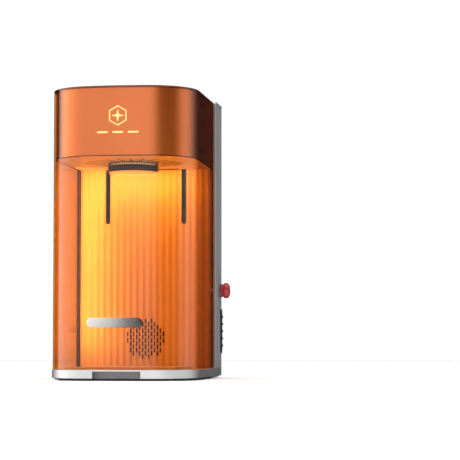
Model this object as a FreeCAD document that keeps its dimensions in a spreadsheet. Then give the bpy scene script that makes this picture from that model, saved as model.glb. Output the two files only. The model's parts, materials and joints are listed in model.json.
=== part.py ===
import FreeCAD, Part
import math
import os

import Sketcher
from FreeCAD import Placement, Rotation, Vector

# Enclosed desktop laser engraver: a lifting amber hood, a scan head that focuses up and down,
# a fluted rear wall with an exhaust grille, and a slim column that holds the drive and electronics.
#
# Frame: +Z up, +X to the right of someone facing the hood, -Y towards them.
# The origin is on the table, under the middle of the object's outer box.

SIZES = [
    # hood
    ("wall_y", 91.24, "front of the rear wall"),
    ("half_width", 125.0, "hood, middle to outer face"),
    ("sheet_t", 3.0, "hood sheet"),
    ("corner_r", 82.0, "hood front corners"),
    ("bow_r", 455.0, "gentle bow of the hood front"),
    ("side_len", 177.0, "straight side, rear wall to corner"),
    ("hood_foot", 18.4, "lower edge of the hood"),
    ("hood_top", 491.0, "upper edge of the hood"),
    ("edge_run", 11.0, "hood edge, behind the rear wall's front"),
    ("lid_t", 2.0, "lid inside the hood's top"),
    # handle
    ("grip_len", 93.5, "handle bar, end to end"),
    ("grip_h", 16.5, "handle bar height"),
    ("grip_t", 8.0, "handle bar thickness"),
    ("grip_proud", 20.0, "handle front, ahead of the hood"),
    ("grip_z", 96.0, "handle height above the table"),
    ("grip_post_x", 34.0, "handle posts from the middle"),
    # base
    ("overhang", 1.7, "base beyond the hood"),
    ("pad_h", 2.0, "rubber feet"),
    ("base_low", 4.0, "underside of the base"),
    ("base_top", 18.0, "top of the base"),
    ("recess_w", 81.0, "finger recess width"),
    ("recess_lip", 2.3, "metal above the recess"),
    ("recess_depth", 14.0, "recess, front to back"),
    ("foot_x", 98.0, "feet from the middle"),
    ("foot_front", 200.0, "front feet ahead of the rear wall"),
    ("foot_rear", 50.0, "rear feet behind the rear wall's front"),
    ("plate_w", 180.0, "work plate, each way"),
    ("plate_y", 122.0, "middle of the work plate ahead of the rear wall"),
    ("plate_t", 4.0, "work plate thickness"),
    ("fixture_pitch", 150.0, "work plate holes"),
    ("fixture_r", 2.5, "work plate hole radius"),
    # column
    ("column_depth", 75.0, "rear wall front to the machine's back"),
    ("column_top", 492.0, "top of the posts"),
    ("cap_t", 2.0, "column cap"),
    ("post_in", 108.0, "middle to a post's inner face"),
    ("post_wall", 2.5, "post section wall"),
    ("groove_gap", 0.4, "gap round the hood's rear edges"),
    ("panel_t", 2.0, "rear panel"),
    ("groove_depth", 14.0, "hood grooves behind the rear wall's front"),
    ("panel_screw_x", 117.5, "rear panel screws from the middle"),
    ("air_slot_h", 3.5, "rear panel air slot height"),
    ("spine_y", 40.0, "front of the spine plate, behind the rear wall's front"),
    ("spine_t", 4.0, "spine plate"),
    # rear wall
    ("wall_half", 119.3, "middle to the wall's edge"),
    ("wall_t", 8.0, "wall thickness over the flutes"),
    ("flute_count", 20, "flutes across the wall"),
    ("flute_rise", 3.0, "flute height"),
    ("slot_x", 68.9, "travel slots from the middle"),
    ("slot_w", 8.2, "travel slot width"),
    ("slot_low", 276.0, "bottom of the travel slots"),
    ("slot_high", 474.0, "top of the travel slots"),
    ("vent_z", 70.0, "exhaust axis height"),
    ("vent_r", 35.0, "exhaust grille radius"),
    ("dash_len", 9.0, "grille dash length"),
    ("dash_w", 2.2, "grille dash width"),
    ("dash_gap_x", 5.4, "pitch of the dash columns"),
    ("dash_gap_z", 11.5, "pitch along a dash column"),
    # scan head
    ("head_inset", 5.3, "hood's outer face to the head"),
    ("head_low", 373.4, "underside of the head"),
    ("head_top", 488.0, "top of the head"),
    ("head_skin", 2.5, "head shell"),
    ("head_gap", 3.0, "head to the rear wall's front"),
    ("sole_t", 3.0, "head underside plate"),
    ("lens_y", 118.0, "lens axis ahead of the rear wall"),
    ("lens_r", 44.0, "lens barrel"),
    ("lens_low", 353.0, "bottom of the lens"),
    ("lens_show", 2.5, "front glass below its barrel"),
    ("head_screw_y", 112.0, "head side screws ahead of the rear wall"),
    ("head_screw_low", 394.7, "lower side screws"),
    ("head_screw_high", 474.3, "upper side screws"),
    ("badge_z", 441.0, "middle of the raised mark"),
    ("badge_dash_z", 412.0, "lower edge of the mark's dashes"),
    ("scan_z", 410.0, "height of the beam at the mirrors"),
    ("beam_y", 98.0, "first mirror ahead of the rear wall"),
    ("scan_y", 122.0, "second mirror ahead of the rear wall"),
    ("mirror_shaft_r", 2.0, "mirror shafts"),
    # focus drive
    ("rail_x", 90.0, "guide rails from the middle"),
    ("screw_x", 56.0, "lead screw, left of the middle"),
    ("screw_y", 33.0, "lead screw behind the rear wall's front"),
    ("screw_r", 4.0, "lead screw and knob shaft"),
    ("drive_z", 95.0, "knob axis height"),
    ("run_gap", 0.06, "radial running clearance"),
    ("gear_pitch_r", 11.0, "mitre gear pitch radius"),
    ("gear_teeth", 16, "mitre gear teeth"),
    ("knob_r", 15.0, "focus knob radius"),
    ("side_reach", 145.8, "middle to the knob's and stop button's tips"),
    # stop button and louvre
    ("stop_y", 45.0, "stop button behind the rear wall's front"),
    ("stop_z", 157.0, "stop button height"),
    ("stop_r", 13.8, "stop button cap radius"),
    ("stop_collar_r", 13.2, "stop button collar radius"),
    ("stop_barrel_r", 11.0, "stop button barrel through the post"),
    ("louvre_y", 64.0, "side louvre behind the rear wall's front"),
    ("louvre_z", 84.0, "side louvre height"),
    ("louvre_w", 14.0, "side louvre width"),
    ("louvre_h", 80.0, "side louvre length"),
    ("louvre_open_w", 5.0, "opening behind the louvre, width"),
    ("louvre_open_h", 68.0, "opening behind the louvre, length"),
    # fan, duct and inlet
    ("fan_size", 80.0, "fan frame"),
    ("fan_t", 25.0, "fan frame thickness"),
    ("fan_r", 38.0, "fan bore"),
    ("fan_pitch", 71.5, "fan screw holes"),
    ("duct_r", 40.5, "duct outside radius"),
    ("duct_wall", 2.0, "duct wall"),
    ("collar_r", 37.5, "exhaust collar"),
    ("collar_reach", 24.0, "exhaust collar behind the panel"),
    ("inlet_x", 78.0, "mains inlet and switch, from the middle"),
    ("inlet_z", 52.0, "mains inlet height"),
    ("rocker_z", 92.0, "switch height"),
    ("rocker_pin_r", 1.2, "switch pivot pin"),
    ("boards_low", 316.0, "bottom of the power supply and board"),
    ("boards_high", 470.0, "top of the power supply and board"),
]

doc = FreeCAD.newDocument("LaserEngraver")
sheet = doc.addObject("Spreadsheet::Sheet", "Sizes")
subparts = []


class Size(float):
    """A number that remembers the sheet expression it comes from."""

    def __new__(cls, value, text):
        size = super().__new__(cls, value)
        size.text = text
        return size

    def __add__(self, other):
        return Size(float(self) + float(other), f"({self.text} + {text_of(other)})")

    def __radd__(self, other):
        return Size(float(other) + float(self), f"({text_of(other)} + {self.text})")

    def __sub__(self, other):
        return Size(float(self) - float(other), f"({self.text} - {text_of(other)})")

    def __rsub__(self, other):
        return Size(float(other) - float(self), f"({text_of(other)} - {self.text})")

    def __mul__(self, other):
        return Size(float(self) * float(other), f"({self.text} * {text_of(other)})")

    __rmul__ = __mul__

    def __truediv__(self, other):
        return Size(float(self) / float(other), f"({self.text} / {text_of(other)})")

    def __neg__(self):
        return Size(-float(self), f"(0 - {self.text})")


def text_of(value):
    """The expression text of a size, or of a plain number."""
    return value.text if isinstance(value, Size) else f"({float(value)})"


def fill_sheet():
    """Puts every driving size in the sheet and returns them by name."""
    sizes = {}
    for row, (name, value, note) in enumerate(SIZES, start=1):
        sheet.set(f"A{row}", note)
        sheet.set(f"B{row}", str(value))
        sheet.setAlias(f"B{row}", name)
        sizes[name] = Size(value, f"Sizes.{name}")
    doc.recompute()
    return sizes


S = fill_sheet()

WALL = S["wall_y"]
BACK = WALL + S["column_depth"]
PANEL = BACK - S["panel_t"]
SPINE = WALL + S["spine_y"]
BASE_HALF = S["half_width"] + S["overhang"]
FRONT = (WALL - 300, WALL - 240)
LENS_Y = WALL - S["lens_y"]
HEAD_REAR = WALL - S["head_gap"]
DRIVE_Y = WALL + S["screw_y"]
STOP_Y = WALL + S["stop_y"]
STOP_SHANK_R = 9.0
GROOVE_IN = S["wall_half"] + 0.1
GROOVE_END = WALL + S["groove_depth"]
LIFT_LOW = S["hood_foot"] + 12.0


def bind(thing, path, value):
    """Binds a property to its sheet expression, or sets a plain number."""
    thing.setExpression(path, text_of(value))


def keep(label, thing):
    """Names a sub-part and lists it for export."""
    thing.Label = label
    subparts.append(thing)
    return thing


# ---------------------------------------------------------------- sketches

def fix_point(sketch, geo, pos, x, y):
    """Holds a sketch point at x, y from the sketch's origin."""
    for kind, value, axis in (("DistanceX", x, -2), ("DistanceY", y, -1)):
        if not isinstance(value, Size) and value == 0:
            sketch.addConstraint(Sketcher.Constraint("PointOnObject", geo, pos, axis))
            continue
        index = sketch.addConstraint(Sketcher.Constraint(kind, -1, 1, geo, pos, float(value)))
        bind(sketch, f"Constraints[{index}]", value)


def fix_radius(sketch, geo, radius):
    index = sketch.addConstraint(Sketcher.Constraint("Radius", geo, float(radius)))
    bind(sketch, f"Constraints[{index}]", radius)


def line(sketch, start, end):
    return sketch.addGeometry(Part.LineSegment(Vector(*start, 0), Vector(*end, 0)), False)


def arc(sketch, centre, radius, start, end):
    """Adds an arc; angles in degrees, counter-clockwise."""
    whole = Part.Circle(Vector(*centre, 0), Vector(0, 0, 1), float(radius))
    return sketch.addGeometry(Part.ArcOfCircle(whole, math.radians(start), math.radians(end)), False)


def join(sketch, kind, first, second):
    """Joins the (geometry, end) pairs with a coincidence or a tangency."""
    sketch.addConstraint(Sketcher.Constraint(kind, *first, *second))


def rectangle(x, y):
    """Draws a rectangle between the low and high ends of x and y."""
    def draw(sketch):
        corners = [(x[0], y[0]), (x[1], y[0]), (x[1], y[1]), (x[0], y[1])]
        sides = [line(sketch, corners[i], corners[(i + 1) % 4]) for i in range(4)]
        for i in range(4):
            join(sketch, "Coincident", (sides[i], 2), (sides[(i + 1) % 4], 1))
            sketch.addConstraint(Sketcher.Constraint("Vertical" if i % 2 else "Horizontal", sides[i]))
        fix_point(sketch, sides[0], 1, *corners[0])
        fix_point(sketch, sides[2], 1, *corners[2])
    return draw


def circles(centres, radius):
    """Draws equal circles."""
    def draw(sketch):
        for x, y in centres:
            geo = sketch.addGeometry(Part.Circle(Vector(x, y, 0), Vector(0, 0, 1), float(radius)), False)
            fix_point(sketch, geo, 3, x, y)
            fix_radius(sketch, geo, radius)
    return draw


def pill(x, y):
    """Draws a rectangle whose shorter sides are full rounds."""
    def draw(sketch):
        wide = float(x[1] - x[0]) > float(y[1] - y[0])
        radius = (y[1] - y[0]) / 2 if wide else (x[1] - x[0]) / 2
        if wide:
            low, high, turn = (x[0] + radius, y[0] + radius), (x[1] - radius, y[0] + radius), 0
        else:
            low, high, turn = (x[0] + radius, y[0] + radius), (x[0] + radius, y[1] - radius), 90
        ends = [
            arc(sketch, low, radius, turn + 90, turn + 270),
            arc(sketch, high, radius, turn - 90, turn + 90),
        ]
        side = (0, float(radius)) if wide else (float(radius), 0)
        near = line(sketch, (low[0] - side[0], low[1] - side[1]), (high[0] - side[0], high[1] - side[1]))
        far = line(sketch, (high[0] + side[0], high[1] + side[1]), (low[0] + side[0], low[1] + side[1]))
        near_ends = ((ends[0], 2), (ends[1], 1)) if wide else ((ends[0], 1), (ends[1], 2))
        far_ends = ((ends[1], 2), (ends[0], 1)) if wide else ((ends[1], 1), (ends[0], 2))
        for bar, joints in ((near, near_ends), (far, far_ends)):
            join(sketch, "Tangent", (bar, 1), joints[0])
            join(sketch, "Tangent", (bar, 2), joints[1])
        fix_point(sketch, ends[0], 3, *low)
        fix_point(sketch, ends[1], 3, *high)
        fix_radius(sketch, ends[0], radius)
    return draw


def hood_plan(inset, rear):
    """Draws the hood's plan moved in by inset, closed by a straight back at y = rear."""
    def draw(sketch):
        half = S["half_width"] - inset
        corner = S["corner_r"] - inset
        bow = S["bow_r"] - inset
        front = WALL - S["side_len"]
        aside = S["half_width"] - S["corner_r"]
        reach = float(S["bow_r"] - S["corner_r"])
        tilt = math.degrees(math.asin(aside / reach))
        bow_y = front + reach * math.cos(math.radians(tilt))
        left = line(sketch, (-half, rear), (-half, front))
        left_corner = arc(sketch, (-aside, front), corner, 180, 270 - tilt)
        nose = arc(sketch, (0, bow_y), bow, 270 - tilt, 270 + tilt)
        right_corner = arc(sketch, (aside, front), corner, 270 + tilt, 360)
        right = line(sketch, (half, front), (half, rear))
        back = line(sketch, (half, rear), (-half, rear))
        join(sketch, "Tangent", (left, 2), (left_corner, 1))
        join(sketch, "Tangent", (left_corner, 2), (nose, 1))
        join(sketch, "Tangent", (nose, 2), (right_corner, 1))
        join(sketch, "Tangent", (right_corner, 2), (right, 1))
        join(sketch, "Coincident", (right, 2), (back, 1))
        join(sketch, "Coincident", (back, 2), (left, 1))
        sketch.addConstraint(Sketcher.Constraint("Vertical", left))
        sketch.addConstraint(Sketcher.Constraint("Vertical", right))
        sketch.addConstraint(Sketcher.Constraint("Horizontal", back))
        fix_point(sketch, left, 1, -half, rear)
        fix_radius(sketch, left_corner, corner)
        fix_radius(sketch, nose, bow)
        sketch.addConstraint(Sketcher.Constraint("Equal", left_corner, right_corner))
        sketch.addConstraint(Sketcher.Constraint("Symmetric", left_corner, 3, right_corner, 3, -2))
        index = sketch.addConstraint(Sketcher.Constraint("DistanceY", -1, 1, left_corner, 3, float(front)))
        bind(sketch, f"Constraints[{index}]", front)
    return draw


def outline(points):
    """Draws a closed polygon through corner points."""
    def draw(sketch):
        sides = [line(sketch, points[i], points[(i + 1) % len(points)]) for i in range(len(points))]
        for i, (x, y) in enumerate(points):
            join(sketch, "Coincident", (sides[i - 1], 2), (sides[i], 1))
            fix_point(sketch, sides[i], 1, x, y)
    return draw


# ---------------------------------------------------------------- features

def new_body(label):
    return keep(label, doc.addObject("PartDesign::Body", label))


def sketch_on(body, plane, offset, draw, origin=(0, 0)):
    """Draws a sketch on an origin plane of the body, moved along the world axis by offset."""
    support = [f for f in body.Origin.OriginFeatures if f.Role == f"{plane}_Plane"][0]
    sketch = body.newObject("Sketcher::SketchObject", f"{body.Name}_sketch")
    sketch.AttachmentSupport = (support, "")
    sketch.MapMode = "FlatFace"
    bind(sketch, "AttachmentOffset.Base.x", origin[0])
    bind(sketch, "AttachmentOffset.Base.y", origin[1])
    bind(sketch, "AttachmentOffset.Base.z", -offset if plane == "XZ" else offset)
    draw(sketch)
    return sketch


def pad(body, plane, span, draw, origin=(0, 0)):
    """Adds material between the two ends of span, along the plane's world axis."""
    feature = body.newObject("PartDesign::Pad", f"{body.Name}_pad")
    feature.Profile = sketch_on(body, plane, span[0], draw, origin)
    bind(feature, "Length", span[1] - span[0])
    feature.Reversed = plane == "XZ"
    return feature


def pocket(body, plane, span, draw, origin=(0, 0)):
    """Removes material between the two ends of span, along the plane's world axis."""
    feature = body.newObject("PartDesign::Pocket", f"{body.Name}_pocket")
    feature.Profile = sketch_on(body, plane, span[0], draw, origin)
    bind(feature, "Length", span[1] - span[0])
    feature.Reversed = plane != "XZ"
    return feature


def round_pattern(body, feature, count):
    """Repeats a feature round the origin of its own sketch."""
    pattern = body.newObject("PartDesign::PolarPattern", f"{body.Name}_pattern")
    pattern.Originals = [feature]
    pattern.Axis = (feature.Profile[0], ["N_Axis"])
    pattern.Angle = 360
    pattern.Occurrences = count
    body.Tip = pattern
    return pattern


def block(x, y, z):
    """A box between the low and high ends of x, y and z."""
    box = doc.addObject("Part::Box", "block")
    for side, axis, (low, high) in zip(("Length", "Width", "Height"), "xyz", (x, y, z)):
        bind(box, side, high - low)
        bind(box, f"Placement.Base.{axis}", low)
    return box


TURNS = {
    "x": Rotation(Vector(0, 1, 0), 90),
    "y": Rotation(Vector(1, 0, 0), -90),
    "z": Rotation(),
}


def rod(axis, centre, radius, span):
    """A cylinder along x, y or z. Centre gives the other two coordinates in order."""
    cylinder = doc.addObject("Part::Cylinder", "rod")
    cylinder.Placement = Placement(Vector(), TURNS[axis])
    bind(cylinder, "Radius", radius)
    bind(cylinder, "Height", span[1] - span[0])
    places = dict(zip([a for a in "xyz" if a != axis], centre))
    places[axis] = span[0]
    for name, value in places.items():
        bind(cylinder, f"Placement.Base.{name}", value)
    return cylinder


def fuse(*things):
    joined = doc.addObject("Part::MultiFuse", "fuse")
    joined.Shapes = list(things)
    return joined


def cut(base, *tools):
    result = doc.addObject("Part::Cut", "cut")
    result.Base = base
    result.Tool = tools[0] if len(tools) == 1 else fuse(*tools)
    return result


def group(*things):
    """Separate solids that share one node."""
    several = doc.addObject("Part::Compound", "group")
    several.Links = list(things)
    return several


def common(first, second):
    shared = doc.addObject("Part::Common", "common")
    shared.Base = first
    shared.Tool = second
    return shared


def tube(axis, centre, outer, inner, span):
    return cut(rod(axis, centre, outer, span), rod(axis, centre, inner, span))


def coded(label, shape, at=Placement()):
    """A sub-part whose shape is made in code."""
    thing = doc.addObject("Part::Feature", label)
    thing.Shape = shape
    thing.Placement = at
    return keep(label, thing)


def mirrored(side, low, high):
    """The span from low to high on the right, or its mirror image on the left."""
    return (low, high) if side > 0 else (-high, -low)


SIDES = (-1, 1)


# ---------------------------------------------------------------- base

def base_plate():
    """Blasted aluminium base, hollow below, with a finger recess under its front edge."""
    body = new_body("base_plate")
    top = S["base_top"]
    low = S["base_low"]
    pad(body, "XY", (low, top), hood_plan(-S["overhang"], PANEL))
    hollow_x = BASE_HALF - 24
    pocket(body, "XY", (low, top - 4), rectangle((-hollow_x, hollow_x), (WALL - 205, PANEL - 12)))
    recess = S["recess_w"] / 2
    front = bow_centre() - S["bow_r"] + S["recess_depth"]
    pocket(body, "XY", (low, top - S["recess_lip"]), rectangle((-recess, recess), (front - 40, front)))
    pocket(body, "XY", (top - 4, top), circles(fixture_points(), S["fixture_r"]))


def fixture_points():
    """The work plate's four holes, on a square."""
    half = S["fixture_pitch"] / 2
    middle = WALL - S["plate_y"]
    return [(sx * half, middle + sy * half) for sx in SIDES for sy in SIDES]


def under_plate():
    """Dark steel plate that closes the base, cut away at the finger recess."""
    body = new_body("under_plate")
    span = (S["pad_h"], S["base_low"])
    pad(body, "XY", span, hood_plan(3.0, PANEL - 3))
    recess = S["recess_w"] / 2
    pocket(body, "XY", span, rectangle((-recess, recess), FRONT))


def foot_points():
    return [(sx * S["foot_x"], WALL + y) for sx in SIDES for y in (-S["foot_front"], S["foot_rear"])]


def rubber_feet():
    keep("rubber_feet", group(*[rod("z", at, 13.0, (0, S["pad_h"])) for at in foot_points()]))


def work_plate():
    """Grey work plate with four fixture holes."""
    body = new_body("work_plate")
    span = (S["base_top"], S["base_top"] + S["plate_t"])
    half = S["plate_w"] / 2
    middle = WALL - S["plate_y"]
    pad(body, "XY", span, rectangle((-half, half), (middle - half, middle + half)))
    pocket(body, "XY", span, circles(fixture_points(), S["fixture_r"]))


# ---------------------------------------------------------------- column

PANEL_SCREW_Z = (34.0, 180.0, 330.0, 476.0)


def side_post(side, label):
    """Hollow aluminium post with a seat for the wall and a groove for the hood's rear edge."""
    body = new_body(label)
    wall = S["post_wall"]
    seat = mirrored(side, S["post_in"] - 1, GROOVE_IN)
    groove = mirrored(side, GROOVE_IN, S["half_width"] + S["groove_gap"])
    span = (S["base_top"], S["column_top"])
    pad(body, "XY", span, rectangle(mirrored(side, S["post_in"], BASE_HALF), (WALL, PANEL)))
    pocket(body, "XY", span, rectangle(seat, (WALL - 1, WALL + S["wall_t"])))
    pocket(body, "XY", span, rectangle(groove, (WALL - 1, GROOVE_END)))
    hollow = mirrored(side, S["post_in"] + wall, BASE_HALF - wall)
    pocket(body, "XY", span, rectangle(hollow, (GROOVE_END + wall, PANEL - wall)))
    through = mirrored(side, S["post_in"] - 1, BASE_HALF + 1)
    if side > 0:
        pocket(body, "YZ", through, circles([(STOP_Y, S["stop_z"])], S["stop_barrel_r"] + 0.15))
        outer = (BASE_HALF - wall - 0.5, BASE_HALF + 1)
        pocket(body, "YZ", outer, louvre_pill(S["louvre_open_w"], S["louvre_open_h"]))
    else:
        pocket(body, "YZ", through, circles([(DRIVE_Y, S["drive_z"])], 6.0))
    for z in PANEL_SCREW_Z:
        pocket(body, "XZ", (PANEL - wall - 0.5, PANEL), circles([(side * S["panel_screw_x"], z)], 2.2))


def louvre_pill(width, height):
    """Upright pill of that size in the side louvre's place."""
    y = WALL + S["louvre_y"]
    z = S["louvre_z"]
    return pill((y - width / 2, y + width / 2), (z - height / 2, z + height / 2))


def column_cap():
    """Thin top plate, notched where the hood's rear edges pass."""
    body = new_body("column_cap")
    span = (S["column_top"], S["column_top"] + S["cap_t"])
    half = BASE_HALF + 1
    pad(body, "XY", span, rectangle((-half, half), (WALL, BACK)))
    for side in SIDES:
        notch = mirrored(side, GROOVE_IN, S["half_width"] + S["groove_gap"])
        pocket(body, "XY", span, rectangle(notch, (WALL - 1, GROOVE_END)))


def rear_panel():
    """Sheet that closes the back, with the exhaust, inlet, switch and vent openings."""
    body = new_body("rear_panel")
    span = (PANEL, BACK)
    pad(body, "XZ", span, rectangle((-BASE_HALF, BASE_HALF), (S["base_low"], S["column_top"])))
    pocket(body, "XZ", span, circles([(0, S["vent_z"])], S["collar_r"] - 2.5))
    inlet = S["inlet_x"]
    pocket(body, "XZ", span, rectangle((inlet - 14, inlet + 14), (S["inlet_z"] - 10, S["inlet_z"] + 10)))
    pocket(body, "XZ", span, rectangle((inlet - 10, inlet + 10), (S["rocker_z"] - 7, S["rocker_z"] + 7)))
    screws = [(side * S["panel_screw_x"], z) for side in SIDES for z in PANEL_SCREW_Z]
    pocket(body, "XZ", span, circles(screws, 2.2))
    for row in range(6):
        low = 350.0 + 14 * row
        for side in SIDES:
            pocket(body, "XZ", span, pill(mirrored(side, 22.0, 86.0), (low, low + S["air_slot_h"])))


def panel_screws():
    """Button-head screws that hold the rear panel to the posts."""
    screws = []
    for side in SIDES:
        for z in PANEL_SCREW_Z:
            at = (side * S["panel_screw_x"], z)
            shank = rod("y", at, 2.0, (PANEL - 10, BACK))
            head = rod("y", at, 3.8, (BACK, BACK + 2.2))
            socket = rod("y", at, 1.3, (BACK + 1, BACK + 3))
            screws.append(cut(fuse(shank, head), socket))
    keep("panel_screws", group(*screws))


def rear_wall():
    """Fluted liner with two travel slots and the dashed exhaust grille."""
    body = doc.addObject("PartDesign::Body", "wall_body")
    half = S["wall_half"]
    span = (S["base_top"], S["column_top"] - 4)
    valley = WALL + S["flute_rise"]
    pad(body, "XY", span, rectangle((-half, half), (valley, WALL + S["wall_t"])))
    pitch = half * 2 / S["flute_count"]
    chord = float(pitch) / 2 - 0.15
    rise = float(S["flute_rise"])
    radius = (chord ** 2 + rise ** 2) / (2 * rise)

    def flute(sketch):
        centre = (-half + pitch / 2, WALL + radius)
        turn = math.degrees(math.asin(chord / radius))
        face = arc(sketch, centre, radius, 270 - turn, 270 + turn)
        flat = line(sketch, (centre[0] + chord, valley), (centre[0] - chord, valley))
        join(sketch, "Coincident", (face, 2), (flat, 1))
        join(sketch, "Coincident", (flat, 2), (face, 1))
        sketch.addConstraint(Sketcher.Constraint("Horizontal", flat))
        fix_point(sketch, face, 3, *centre)
        fix_radius(sketch, face, radius)
        index = sketch.addConstraint(Sketcher.Constraint("DistanceY", -1, 1, flat, 1, float(valley)))
        bind(sketch, f"Constraints[{index}]", valley)

    ridge = pad(body, "XY", span, flute)
    row = body.newObject("PartDesign::LinearPattern", "flutes")
    row.Originals = [ridge]
    row.Direction = (ridge.Profile[0], ["H_Axis"])
    row.Occurrences = int(S["flute_count"])
    bind(row, "Length", pitch * (float(S["flute_count"]) - 1))
    body.Tip = row
    for side in SIDES:
        slot = mirrored(side, S["slot_x"] - S["slot_w"] / 2, S["slot_x"] + S["slot_w"] / 2)
        pocket(body, "XZ", (WALL - 1, WALL + S["wall_t"] + 1), pill(slot, (S["slot_low"], S["slot_high"])))
    grille = doc.addObject("Part::Feature", "grille_slots")
    grille.Shape = grille_slots()
    keep("rear_wall", cut(body, grille))


def grille_slots():
    """Cutters for the grille: columns of upright dashes, every other column half a pitch lower."""
    dashes = []
    radius = S["dash_w"] / 2
    start = WALL - 1
    depth = float(S["wall_t"]) + 2
    for column in range(-6, 7):
        x = column * S["dash_gap_x"]
        for row in range(-4, 5):
            z = S["vent_z"] + (row + 0.5 * (column % 2)) * S["dash_gap_z"]
            reach = math.hypot(x, z - S["vent_z"])
            if reach > S["vent_r"] - 1:
                continue
            half = S["dash_len"] / 2 - radius
            middle = Part.makeBox(2 * radius, depth, 2 * half, Vector(x - radius, start, z - half))
            tips = [Vector(x, start, z + s * half) for s in SIDES]
            ends = [Part.makeCylinder(radius, depth, tip, Vector(0, 1, 0)) for tip in tips]
            dashes.append(middle.fuse(ends))
    return Part.makeCompound(dashes)


def corner_seals():
    """Dark strips that close the gap between the wall and the hood's sides."""
    y = (WALL, WALL + 4)
    z = (S["base_top"], S["column_top"] - 4)
    outer = S["half_width"] - S["sheet_t"] - S["groove_gap"]
    keep("corner_seals", group(*[block(mirrored(side, S["wall_half"], outer), y, z) for side in SIDES]))


def spine_plate():
    """Steel plate between the posts that carries the focus rails."""
    body = new_body("spine_plate")
    span = (SPINE, SPINE + S["spine_t"])
    half = S["post_in"]
    pad(body, "XZ", span, rectangle((-half, half), (190.0, 484.0)))
    for z in (300.0, 380.0):
        pocket(body, "XZ", span, rectangle((-20.0, 20.0), (z - 20, z + 20)))


# ---------------------------------------------------------------- hood

def amber_cover():
    """U-shaped amber sheet, wrapped round the front and both sides."""
    body = new_body("amber_cover")
    rear = WALL + S["edge_run"]
    span = (S["hood_foot"], S["hood_top"])
    pad(body, "XY", span, hood_plan(0, rear))
    pocket(body, "XY", span, hood_plan(S["sheet_t"], rear + 1))
    holes = [(side * S["grip_post_x"], S["grip_z"]) for side in SIDES]
    pocket(body, "XZ", FRONT, circles(holes, 2.6))


def top_lid():
    """Thin copper-coloured lid inside the hood's upper edge."""
    body = new_body("top_lid")
    span = (S["hood_top"] - S["lid_t"], S["hood_top"])
    pad(body, "XY", span, hood_plan(S["sheet_t"] + 0.05, WALL - 1))


def bow_centre():
    """Y of the bow's centre."""
    aside = float(S["half_width"] - S["corner_r"])
    reach = float(S["bow_r"] - S["corner_r"])
    return WALL - S["side_len"] + math.sqrt(reach ** 2 - aside ** 2)


def grip_bar():
    """Pill-shaped handle bar, bowed like the hood's front."""
    half = S["grip_len"] / 2
    tall = S["grip_h"] / 2
    blank = doc.addObject("PartDesign::Body", "grip_blank")
    pad(blank, "XZ", FRONT, pill((-half, half), (S["grip_z"] - tall, S["grip_z"] + tall)))
    outer = S["bow_r"] + S["grip_proud"]
    centre = (0, bow_centre())
    z = (S["grip_z"] - 20, S["grip_z"] + 20)
    ring = tube("z", centre, outer, outer - S["grip_t"], z)
    keep("grip_bar", common(blank, ring))


def grip_posts():
    """Two round posts between the bar and the sheet, with tapped ends."""
    posts = []
    centre = (0, bow_centre())
    z = (S["grip_z"] - 10, S["grip_z"] + 10)
    inner = S["bow_r"] + S["grip_proud"] - S["grip_t"]
    gap_ring = tube("z", centre, inner, S["bow_r"], z)
    for side in SIDES:
        shaft = rod("y", (side * S["grip_post_x"], S["grip_z"]), 5.0, FRONT)
        bore = rod("y", (side * S["grip_post_x"], S["grip_z"]), 2.0, FRONT)
        posts.append(common(cut(shaft, bore), gap_ring))
    keep("grip_posts", group(*posts))


def grip_screws():
    """Pan-head screws from inside the hood into the posts."""
    screws = []
    face = bow_centre() - math.sqrt(float(S["bow_r"] - S["sheet_t"]) ** 2 - float(S["grip_post_x"]) ** 2)
    for side in SIDES:
        at = (side * S["grip_post_x"], S["grip_z"])
        shank = rod("y", at, 1.95, (face - 10, face + 0.5))
        head = rod("y", at, 4.0, (face + 0.3, face + 1.6))
        screws.append(fuse(shank, head))
    keep("grip_screws", group(*screws))


def guide_shoes():
    """Low-friction shoes on the hood's rear edges; they run inside the posts' grooves."""
    shoes = []
    inner = S["half_width"] - S["sheet_t"]
    for side in SIDES:
        for low in (LIFT_LOW, LIFT_LOW + 170):
            shoes.append(block(mirrored(side, inner - 2, inner), (WALL + 5, WALL + 13), (low, low + 40)))
    keep("guide_shoes", group(*shoes))


def cover_sensor():
    """Proximity sensor in the left post, which sees the lowest shoe when the hood is down."""
    x = S["half_width"] - S["sheet_t"] - 2
    keep("cover_sensor", block((-x - 2, -x + 4), (WALL + 16.5, WALL + 21.0), (LIFT_LOW + 12, LIFT_LOW + 28)))


# ---------------------------------------------------------------- scan head

def head_shell():
    """Deep D-shaped band round the head."""
    body = new_body("head_shell")
    span = (S["head_low"], S["head_top"])
    pad(body, "XY", span, hood_plan(S["head_inset"], HEAD_REAR))
    pocket(body, "XY", span, hood_plan(S["head_inset"] + S["head_skin"], HEAD_REAR - S["head_skin"]))


def head_lid():
    """Plate that closes the head's top."""
    body = new_body("head_lid")
    span = (S["head_top"] - 2, S["head_top"])
    pad(body, "XY", span, hood_plan(S["head_inset"] + S["head_skin"] + 0.1, HEAD_REAR - S["head_skin"] - 0.1))


def head_sole():
    """Underside plate with a sunburst of air slots round the lens."""
    body = new_body("head_sole")
    span = (S["head_low"], S["head_low"] + S["sole_t"])
    pad(body, "XY", span, hood_plan(S["head_inset"] + S["head_skin"] + 0.1, HEAD_REAR - S["head_skin"] - 0.1))
    centre = (0, LENS_Y)
    pocket(body, "XY", span, circles([(0, 0)], S["lens_r"] - 2), centre)
    for inner, outer, width in ((52.0, 64.0, 2.2), (72.0, 86.0, 1.8)):
        ray = pocket(body, "XY", span, pill((-width / 2, width / 2), (inner, outer)), centre)
        round_pattern(body, ray, 24)


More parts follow.
